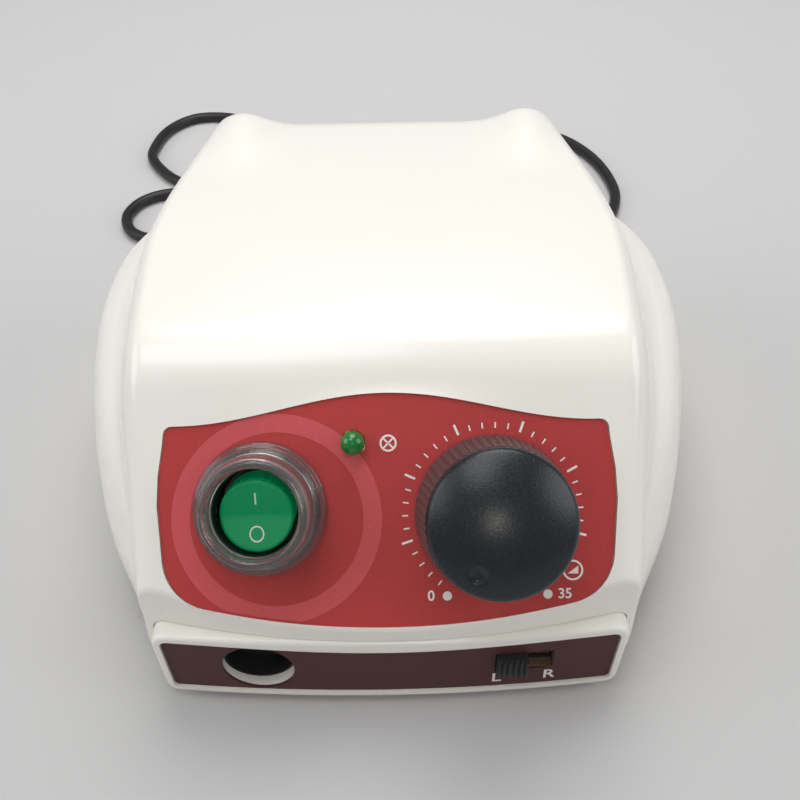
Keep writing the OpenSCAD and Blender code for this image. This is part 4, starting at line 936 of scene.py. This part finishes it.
class PrintedFilms(bpy.types.Operator):
    """Red and maroon films with their printed ring, scale and marks"""
    bl_idname = "control_box.printed_films"
    bl_label = "Printed films"

    def flat(self, name, shapes, finish):
        verts, faces = [], []
        for outline in shapes:
            at = len(verts)
            verts += [(u, v, INK_LIFT) for u, v in outline]
            faces.append(tuple(range(at, at + len(outline))))
        return piece(name, verts, faces, finish, "box", on_panel(0, 0), "overlay_red")

    def words(self, name, text, size, place):
        curve = bpy.data.curves.new(name, "FONT")
        curve.body, curve.size = text, size
        curve.align_x, curve.align_y = "CENTER", "CENTER"
        curve.offset = size * 0.018
        obj = linked(name, curve)
        mesh = settled(obj)
        bpy.data.objects.remove(obj)
        mesh.transform(Matrix.Diagonal((MM, MM, MM, 1)) @ place)
        adopt(name, mesh, ink(), "box")

    def ring(self):
        """Ring round the switch, cut short where it would pass the film's lower edge."""
        step, quads = 2, []
        for a in range(0, 360, step):
            corners = []
            for t in (math.radians(a), math.radians(a + step)):
                e, n = math.cos(t), math.sin(t)
                reach = RING_OUT
                while reach > RING_IN and RING_V + reach * n < panel_low(RING_U + reach * e) + RING_MARGIN:
                    reach -= 0.05
                corners.append([(RING_U + r * e, RING_V + r * n) for r in (RING_IN, reach)])
            (in_a, out_a), (in_b, out_b) = corners
            quads.append([in_a, out_a, out_b, in_b])
        return quads

    def scale(self):
        """Ticks round the knob, a longer one after each group, and a dot at each end."""
        marks, o = [], Vector((KNOB_U, KNOB_V))
        for i in range(1, SCALE_STEPS):
            a = math.radians(SCALE_FROM - SCALE_SWEEP * i / SCALE_STEPS)
            end, w = (TICK_SHORT, TICK_HALF) if i % SCALE_GROUP else (TICK_LONG, TICK_LONG_HALF)
            e, n = Vector((math.cos(a), math.sin(a))), Vector((-math.sin(a), math.cos(a)))
            corners = ((TICK_IN, -w), (end, -w), (end, w), (TICK_IN, w))
            marks.append([tuple(o + e * r + n * s) for r, s in corners])
        return marks + [circle(DOT_R, 32, u, DOT_V) for u in DOT_US]

    def signs(self):
        """Crossed ring by the lamp, and a ring with a rising wedge by the scale's end."""
        marks, o = ring_quads(SIGN_IN, SIGN_OUT, 40, SIGN_U, SIGN_V), Vector((SIGN_U, SIGN_V))
        for a in (45, 135):
            e = Vector((math.cos(math.radians(a)), math.sin(math.radians(a))))
            n, e = Vector((-e.y, e.x)) * SIGN_HALF, e * SIGN_BAR
            marks.append([tuple(o + p) for p in (-e - n, e - n, e + n, -e + n)])
        marks += ring_quads(WEDGE_IN, WEDGE_OUT, 48, WEDGE_U, WEDGE_V)
        left, right, low = WEDGE_U - WEDGE_HALF, WEDGE_U + WEDGE_HALF, WEDGE_V - WEDGE_FALL
        return marks + [[(left, low), (right, low), (right, WEDGE_V + WEDGE_RISE)]]

    def execute(self, context):
        c = colours()
        kept("control_overlay", film("red_film", c.face))
        kept("connector_overlay", film("maroon_film", c.strip))
        self.flat("ring_print", self.ring(), film("ring_film", c.ring))
        self.flat("scale_print", self.scale() + self.signs(), ink())
        for name, text, u in zip(("zero_print", "top_speed_print"), ("0", "35"), DIGIT_US):
            self.words(name, text, DIGIT_SIZE, on_panel(u, DOT_V, INK_LIFT))
        for name, text, x in zip(("left_print", "right_print"), "LR", LETTER_XS):
            lean = math.asin(x / FRAME_R)
            place = in_case() @ Matrix.Translation((x, frame_y(x) + STRIP_FACE, LETTER_Z))
            self.words(name, text, LETTER_SIZE, place @ Matrix.Rotation(lean, 4, "Z")
                       @ Matrix.Rotation(math.pi / 2, 4, "X"))
        return {"FINISHED"}


def rocker_height(y):
    """Height of the rocker's two leaning halves, which meet in a soft valley."""
    lean = math.tan(math.radians(ROCKER_TILT))
    return ROCKER_FACE + (math.sqrt(y * y + ROCKER_SOFT ** 2) - ROCKER_SOFT) * lean


class PowerSwitch(bpy.types.Operator):
    """Lit rocker in its housing under a clear splash collar"""
    bl_idname = "control_box.power_switch"
    bl_label = "Power switch"

    def lens(self, place):
        """Rocker as rings of points from its middle, over a rounded edge, down to its foot."""
        r, n, rings = ROCKER_D / 2, 96, 22
        flat = r - ROCKER_EDGE
        levels = [(flat * i / rings, 0.0) for i in range(rings + 1)]
        for a in range(15, 91, 15):
            t = math.radians(a)
            levels.append((flat + ROCKER_EDGE * math.sin(t), ROCKER_EDGE * (1 - math.cos(t))))
        levels.append((r, ROCKER_SIDE))
        verts = [(x, y, rocker_height(y) - drop) for q, drop in levels for x, y in circle(q, n)]
        verts += [(x, y, ROCKER_FOOT) for x, y in circle(r, n)]
        faces = []
        for j in range(len(levels)):
            for i in range(n):
                k = (i + 1) % n
                faces.append((j * n + i, (j + 1) * n + i, (j + 1) * n + k, j * n + k))
        faces.append(tuple(range(len(verts) - 1, len(verts) - n - 1, -1)))
        piece("rocker_lens", verts, faces, rocker_lens(), "rocker", place, "rocker_green",
              ("rocker_button",), 40, [(x, y) for x, y, z in verts])

    def marks(self, place):
        """Bar on the upper half and ring on the lower one."""
        steps, half = 6, BAR_HALF
        ends = [BAR_FROM + BAR_LEN * i / steps for i in range(steps + 1)]
        shapes = [[(-half, a), (half, a), (half, b), (-half, b)] for a, b in zip(ends, ends[1:])]
        for quad in ring_quads(ZERO_IN, ZERO_OUT, 48):
            shapes.append([(x, ZERO_Y + ZERO_STRETCH * y) for x, y in quad])
        verts = [(x, y, rocker_height(y) + ROCKER_INK_LIFT) for shape in shapes for x, y in shape]
        faces = [tuple(range(i, i + 4)) for i in range(0, len(verts), 4)]
        piece("rocker_marks", verts, faces, ink(), "rocker", place)

    def collar(self, place):
        """Stepped collar that sits on the housing's flange and grips its neck."""
        d, lip, top = COLLAR_D / 2, COLLAR_LIP_D / 2, COLLAR_H
        flange, neck, seat, over = FLANGE_D / 2 + FIT, NECK_D / 2 + FIT, FLANGE_H + FIT, NECK_H + FIT
        outer = rounded([(flange, 0), (d, 0), (d, 2.2), (d - 1.2, 2.6), (d - 1.3, 5.4), (d - 2.1, 5.8),
                         (d - 3, 11.7), (d - 3.5, top), (lip + 0.5, top), (lip, top - 0.6),
                         (lip, over)], 0.5, 4)
        inner = rounded([(lip, over), (neck, over), (neck, seat), (flange, seat), (flange, 0)], 0.12, 2)
        piece("splash_collar", *lathe(outer + inner[1:-1], 128, True), smoke_clear(), "box", place,
              "collar_smoke", ("switch_collar",), 40)

    def execute(self, context):
        at = on_panel(SWITCH_U, SWITCH_V)
        tipped = Matrix.Rotation(math.radians(ROCKER_TILT), 4, "X")
        on_rocker = at @ Matrix.Translation((0, 0, ROCKER_Z)) @ tipped
        self.lens(on_rocker)
        self.marks(on_rocker)
        softened("rocker_housing", black_plastic(), "box", 0.25)
        kept("rocker_terminals", brass())
        self.collar(at)
        return {"FINISHED"}


class PilotLamp(bpy.types.Operator):
    """Green pilot lamp with its lens and leads"""
    bl_idname = "control_box.pilot_lamp"
    bl_label = "Pilot lamp"

    def execute(self, context):
        r = LAMP_D / 2
        rim = r + LAMP_RIM
        line = [(0, LAMP_RIM_LOW), (rim, LAMP_RIM_LOW), (rim, LAMP_RIM_TOP), (r, LAMP_RIM_TOP), (r, 0.4)]
        line += arc(0, LAMP_DOME, r, range(0, 90, 6)) + [(0, LAMP_DOME + r)]
        piece("lamp_lens", *lathe(line, 64), lamp_green(), "box", on_panel(LAMP_U, LAMP_V), "lamp_green",
              ("pilot_lamp",))
        kept("lamp_leads", steel())
        return {"FINISHED"}


class SpeedKnob(bpy.types.Operator):
    """Ribbed skirt and speckled cap of the speed knob, with its shaft and control"""
    bl_idname = "control_box.speed_knob"
    bl_label = "Speed knob"

    def skirt(self, at):
        r, top, foot = KNOB_D / 2, CAP_D / 2 + 0.2, KNOB_FOOT
        side = [(HUB_R, KNOB_GAP), (r - 0.6, KNOB_GAP), (r - 0.15, KNOB_GAP + 0.3), (r, foot)]
        side += [(r + (top - r) * i / 8, foot + (KNOB_H - foot) * i / 8) for i in range(1, 9)]
        side += [(HUB_R, KNOB_H)]
        per_rib = 8

        def rib(i, j):
            if j < 3 or j > len(side) - 2:
                return 0
            turn = 2 * math.pi * (i % per_rib) / per_rib
            return -RIB_DEPTH * ease((math.cos(turn) + 0.25) * 0.9)
        piece("knob_skirt_ribbed", *lathe(side, per_rib * sizes().ribs, True, rib), knob_smoke(),
              "speed_knob", at, "knob_dark", ("knob_skirt",), 50)

    def cap(self, at):
        """Domed cap with a soft dent as its pointer."""
        edge, edge_z, bend = cap_dome()
        r, rim_z = CAP_D / 2, KNOB_H + CAP_RIM
        line = rounded([(0, KNOB_H), (r, KNOB_H), (r, rim_z - 0.4), (edge, edge_z)], 0.35, 4)
        half, dome_z, steps = math.asin(edge / bend), rim_z + CAP_DOME - bend, 36
        for i in range(1, steps + 1):
            a = half * (1 - i / steps)
            line.append((bend * math.sin(a), dome_z + bend * math.cos(a)))
        verts, faces = lathe(line, 160)
        a = math.radians(POINTER_A)
        spot = Vector((POINTER_R * math.cos(a), POINTER_R * math.sin(a)))
        dented = []
        for x, y, z in verts:
            if z > rim_z:
                q = (Vector((x, y)) - spot).length / POINTER_HALF
                z -= POINTER_DEPTH * (1 - ease((q - 0.35) / 0.65)) if q < 1 else 0
            dented.append((x, y, z))
        piece("knob_cap_domed", dented, faces, knob_slate(), "speed_knob", at, "knob_slate",
              ("knob_cap",), 45)

    def execute(self, context):
        at = on_panel(KNOB_U, KNOB_V)
        self.skirt(at)
        self.cap(at)
        kept("pot_shaft", steel())
        kept("potentiometer", control_can())
        for node in ("pot_nut", "pot_terminals"):
            kept(node, brass())
        return {"FINISHED"}


class FrontConnectors(bpy.types.Operator):
    """Motor socket and direction slide on the front frame"""
    bl_idname = "control_box.front_connectors"
    bl_label = "Front connectors"

    def shade_walls(self):
        """Four thin walls inside the slide's slot, in the brown-beige of the slide's base, laid over the
        white cut walls as painted shade inside the slot.
        """
        hole = oblong(SLOT_W / 2 - SHADE_WALL_GAP, SLOT_H / 2 - SHADE_WALL_GAP)
        depths = [frame_y(SLIDE_X) + reach for reach in (SHADE_WALL_FRONT, SHADE_WALL_BACK)]
        verts = [(SLIDE_X + x, y, SLIDE_Z + z) for y in depths for x, z in hole]
        faces = [(i, i + 4, (i + 1) % 4 + 4, (i + 1) % 4) for i in range(4)]
        piece("slot_shade_walls", verts, faces, slide_beige(), "box", in_case())

    def execute(self, context):
        softened("motor_socket", socket_black(), "box", 0.2)
        kept("socket_contacts", brass())
        kept("socket_screws", steel())
        softened("direction_slider", black_plastic(), "slider", 0.18)
        kept("direction_frame", slide_plate())
        kept("direction_base", slide_beige())
        # Painted shade: brown-beige walls over the slot's white cut walls
        self.shade_walls()
        return {"FINISHED"}


class RearFittings(bpy.types.Operator):
    """Rear plate with fuse holder, pedal jack and cord gland"""
    bl_idname = "control_box.rear_fittings"
    bl_label = "Rear fittings"

    def execute(self, context):
        softened("rear_panel", plate_black(), "box", 0.25)
        softened("rear_screws", steel(), "box", 0.12)
        for node in ("fuse_holder", "pedal_jack", "fuse_nut"):
            softened(node, black_plastic(), "box", 0.2)
        softened("fuse_cap", black_plastic(), "fuse_carrier", 0.2)
        kept("fuse", fuse_glass())
        softened("jack_nut", steel(), "box", 0.2)
        softened("cord_gland", plug_moulding(), "box", 0.2)
        return {"FINISHED"}


class BaseAndFeet(bpy.types.Operator):
    """Base tray, rubber feet and base screws"""
    bl_idname = "control_box.base_and_feet"
    bl_label = "Base and feet"

    def execute(self, context):
        softened("base_tray", tray_grey(), "box", 0.25)
        softened("rubber_feet", foot_rubber(), "box", 0.3)
        softened("base_screws", steel(), "box", 0.12)
        return {"FINISHED"}


class InnerWorks(bpy.types.Operator):
    """Power board, its parts and the mains transformer inside the box"""
    bl_idname = "control_box.inner_works"
    bl_label = "Inner works"

    def execute(self, context):
        for node in ("circuit_board", "terminal_block"):
            kept(node, board_green())
        kept("board_posts", post_white())
        for node in ("board_screws", "transformer_screws", "transformer_bracket"):
            kept(node, steel())
        kept("capacitors", can_sleeve())
        kept("heat_sink", sink_aluminium())
        for node in ("bridge_rectifier", "power_transistor"):
            kept(node, black_plastic())
        kept("transformer_core", core_iron())
        kept("transformer_coil", coil_tape())
        return {"FINISHED"}


def cord_route():
    """Chosen points of the free lead, in the case frame, from the gland to the coil."""
    rear, lie, low = sizes().depth / MM, CORD_LIE, COIL_Y - COIL_OUT
    return [(GLAND_X, rear + GLAND_OUT, GLAND_Z), (GLAND_X, 163, GLAND_Z), (3.5, 171, 18.8),
            (-3, 179, 13.2), (-14, 184, 7.8), (-28, 186, 3.8), (-54, 185.5, lie), (-82, 184, lie),
            (-93.5, 188.5, lie), (-98, 200, lie), (-93.5, 211, lie), (-82, 216, lie), (-64, 212, lie),
            (-40, 200.5, lie), (-14, 191.5, lie), (14, 185.3, lie), (44, 180, lie), (68, 181.5, lie),
            (79.5, 189.5, lie), (86.2, 205.5, lie), (86.3, 222, lie), (81.5, 239.5, lie),
            (72, 253.8, lie), (58, 260.5, lie), (40, 262.5, lie), (2, 262.3, lie), (-36, 263.5, lie),
            (-54, 270.5, lie), (-69, 278.5, lie), (-83, 278.5, lie), (-92.5, 269.5, lie),
            (-96.5, 256, lie), (-95.5, 242, lie), (-82, 224.5, lie), (-64, 221, lie), (-40, 209.5, lie),
            (-16, 198.5, lie), (8, low + 1.3, lie), (26, low, lie + 0.3), (COIL_X, low, lie + COIL_LIFT)]


def smooth_line(points, k):
    """A smooth line through the points, with k steps from each to the next."""
    p = [Vector(q) for q in points]
    n, out = len(p) - 1, []
    for i in range(n):
        a, b, c, d = p[max(i - 1, 0)], p[i], p[i + 1], p[min(i + 2, n)]
        for j in range(k):
            t = j / k
            out.append(0.5 * (2 * b + (c - a) * t + (2 * a - 5 * b + 4 * c - d) * t ** 2
                              + (3 * b - a - 3 * c + d) * t ** 3))
    return out + [p[n]]


def coil_line():
    """Turns that spiral in on the floor, climb by one step and spiral out above."""
    end = 2 * COIL_TURNS + (COIL_END_A + 90) / 360
    out, n, z = [], round(end * 48), CORD_LIE + COIL_LIFT
    for i in range(1, n + 1):
        t = end * i / n
        if t < COIL_TURNS:
            r = COIL_OUT - COIL_STEP * t
        else:
            r = COIL_IN + COIL_STEP * max(0.0, t - COIL_TURNS - COIL_CLIMB)
        a = 2 * math.pi * t - math.pi / 2
        rise = COIL_STEP * min(max((t - COIL_TURNS) / COIL_CLIMB, 0.0), 1.0)
        out.append(Vector((COIL_X + r * math.cos(a), COIL_Y + r * math.sin(a), z + rise)))
    turn = math.radians(COIL_END_A)
    ahead = Vector((-math.sin(turn), math.cos(turn), 0))
    return out + [out[-1] + ahead * reach for reach in COIL_TAIL]


class MainsLead(bpy.types.Operator):
    """Mains lead from the gland to its plug, the spare length coiled and tied"""
    bl_idname = "control_box.mains_lead"
    bl_label = "Mains lead"

    def lead(self, line):
        """Round lead along the line, as one open curve."""
        curve = bpy.data.curves.new("mains_lead", "CURVE")
        curve.dimensions, curve.bevel_depth, curve.bevel_resolution = "3D", CORD_D / 2 * MM, 5
        curve.use_fill_caps = True
        spline = curve.splines.new("POLY")
        spline.points.add(len(line) - 1)
        for p, q in zip(spline.points, line):
            p.co = (*q, 1)
        spline.use_smooth = True
        curve.materials.append(lead_sheath())
        lead = linked("mains_lead", curve)
        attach(lead, "box")
        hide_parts("mains_cord", "cord_coil")
        return lead

    def execute(self, context):
        place = in_case()
        line = [(place @ p) * MM for p in smooth_line(cord_route(), 10) + coil_line()]
        lead = self.lead(line)
        plug = softened("mains_plug", plug_moulding(), "box", 0.5, 3)
        pins = softened("plug_pins", brass(), "box", 0.25)
        tie = softened("coil_tie", plug_moulding(), "box", 0.12)
        return {"FINISHED"}


class Stage(bpy.types.Operator):
    """Pale floor, soft lamps and the camera"""
    bl_idname = "control_box.stage"
    bl_label = "Stage"

    def floor(self):
        mesh = bpy.data.meshes.new("floor")
        corners = [(x, y, 0) for x, y in oblong(FLOOR_HALF, FLOOR_HALF)]
        mesh.from_pydata(corners, [], [(0, 1, 2, 3)])
        mesh.materials.append(floor_paper())
        linked("floor", mesh)

    def lamp(self, name, where, aim, size, share, tint):
        light = bpy.data.lights.new(name, "AREA")
        light.shape, light.size, light.color = "DISK", size, tint
        light.energy = sizes().light * share
        obj = linked(name, light)
        obj.location = where
        obj.rotation_euler = (Vector(aim) - Vector(where)).to_track_quat("-Z", "Y").to_euler()

    def room(self, scene):
        scene.world = bpy.data.worlds.new("studio")
        scene.world.use_nodes = True
        tuned(scene.world.node_tree.nodes["Background"], Color=ROOM_TINT, Strength=ROOM_LIGHT)

    def camera(self, scene):
        camera = bpy.data.cameras.new("camera")
        camera.sensor_fit, camera.sensor_width, camera.lens = "AUTO", SENSOR, LENS
        camera.clip_start = NEAREST
        eye = linked("camera", camera)
        eye.location = Vector((EYE_X, EYE_Y - middle(), EYE_Z)) * MM
        tilt = Matrix.Rotation(math.radians(EYE_TILT), 3, "X")
        eye.rotation_euler = (tilt @ Matrix.Rotation(math.radians(EYE_ROLL), 3, "Z")).to_euler()
        scene.camera = eye

    def execute(self, context):
        self.floor()
        for row in LAMPS:
            self.lamp(*row)
        self.room(context.scene)
        self.camera(context.scene)
        context.scene.view_settings.view_transform = "Standard"
        return {"FINISHED"}


class BoxPanel(bpy.types.Panel):
    """Buttons and values of the control box"""
    bl_idname = "VIEW3D_PT_control_box"
    bl_label = "Control Box"
    bl_space_type = "VIEW_3D"
    bl_region_type = "UI"
    bl_category = "Control Box"

    def draw(self, context):
        for source in (context.scene.box_sizes, context.scene.box_colours):
            for name in source.__annotations__:
                self.layout.prop(source, name)
        for op in STEPS:
            self.layout.operator(op.bl_idname)


STEPS = (Stage, CaseCover, PrintedFilms, PowerSwitch, PilotLamp, SpeedKnob, FrontConnectors,
         RearFittings, BaseAndFeet, InnerWorks, MainsLead)
CLASSES = (BoxSizes, BoxColours, *STEPS, BoxPanel)


def register():
    for c in CLASSES:
        bpy.utils.register_class(c)
    bpy.types.Scene.box_sizes = PointerProperty(type=BoxSizes)
    bpy.types.Scene.box_colours = PointerProperty(type=BoxColours)


def unregister():
    del bpy.types.Scene.box_sizes
    del bpy.types.Scene.box_colours
    for c in reversed(CLASSES):
        bpy.utils.unregister_class(c)


def main():
    register()
    for step in STEPS:
        area, name = step.bl_idname.split(".")
        getattr(getattr(bpy.ops, area), name)()


if __name__ == "__main__":
    main()
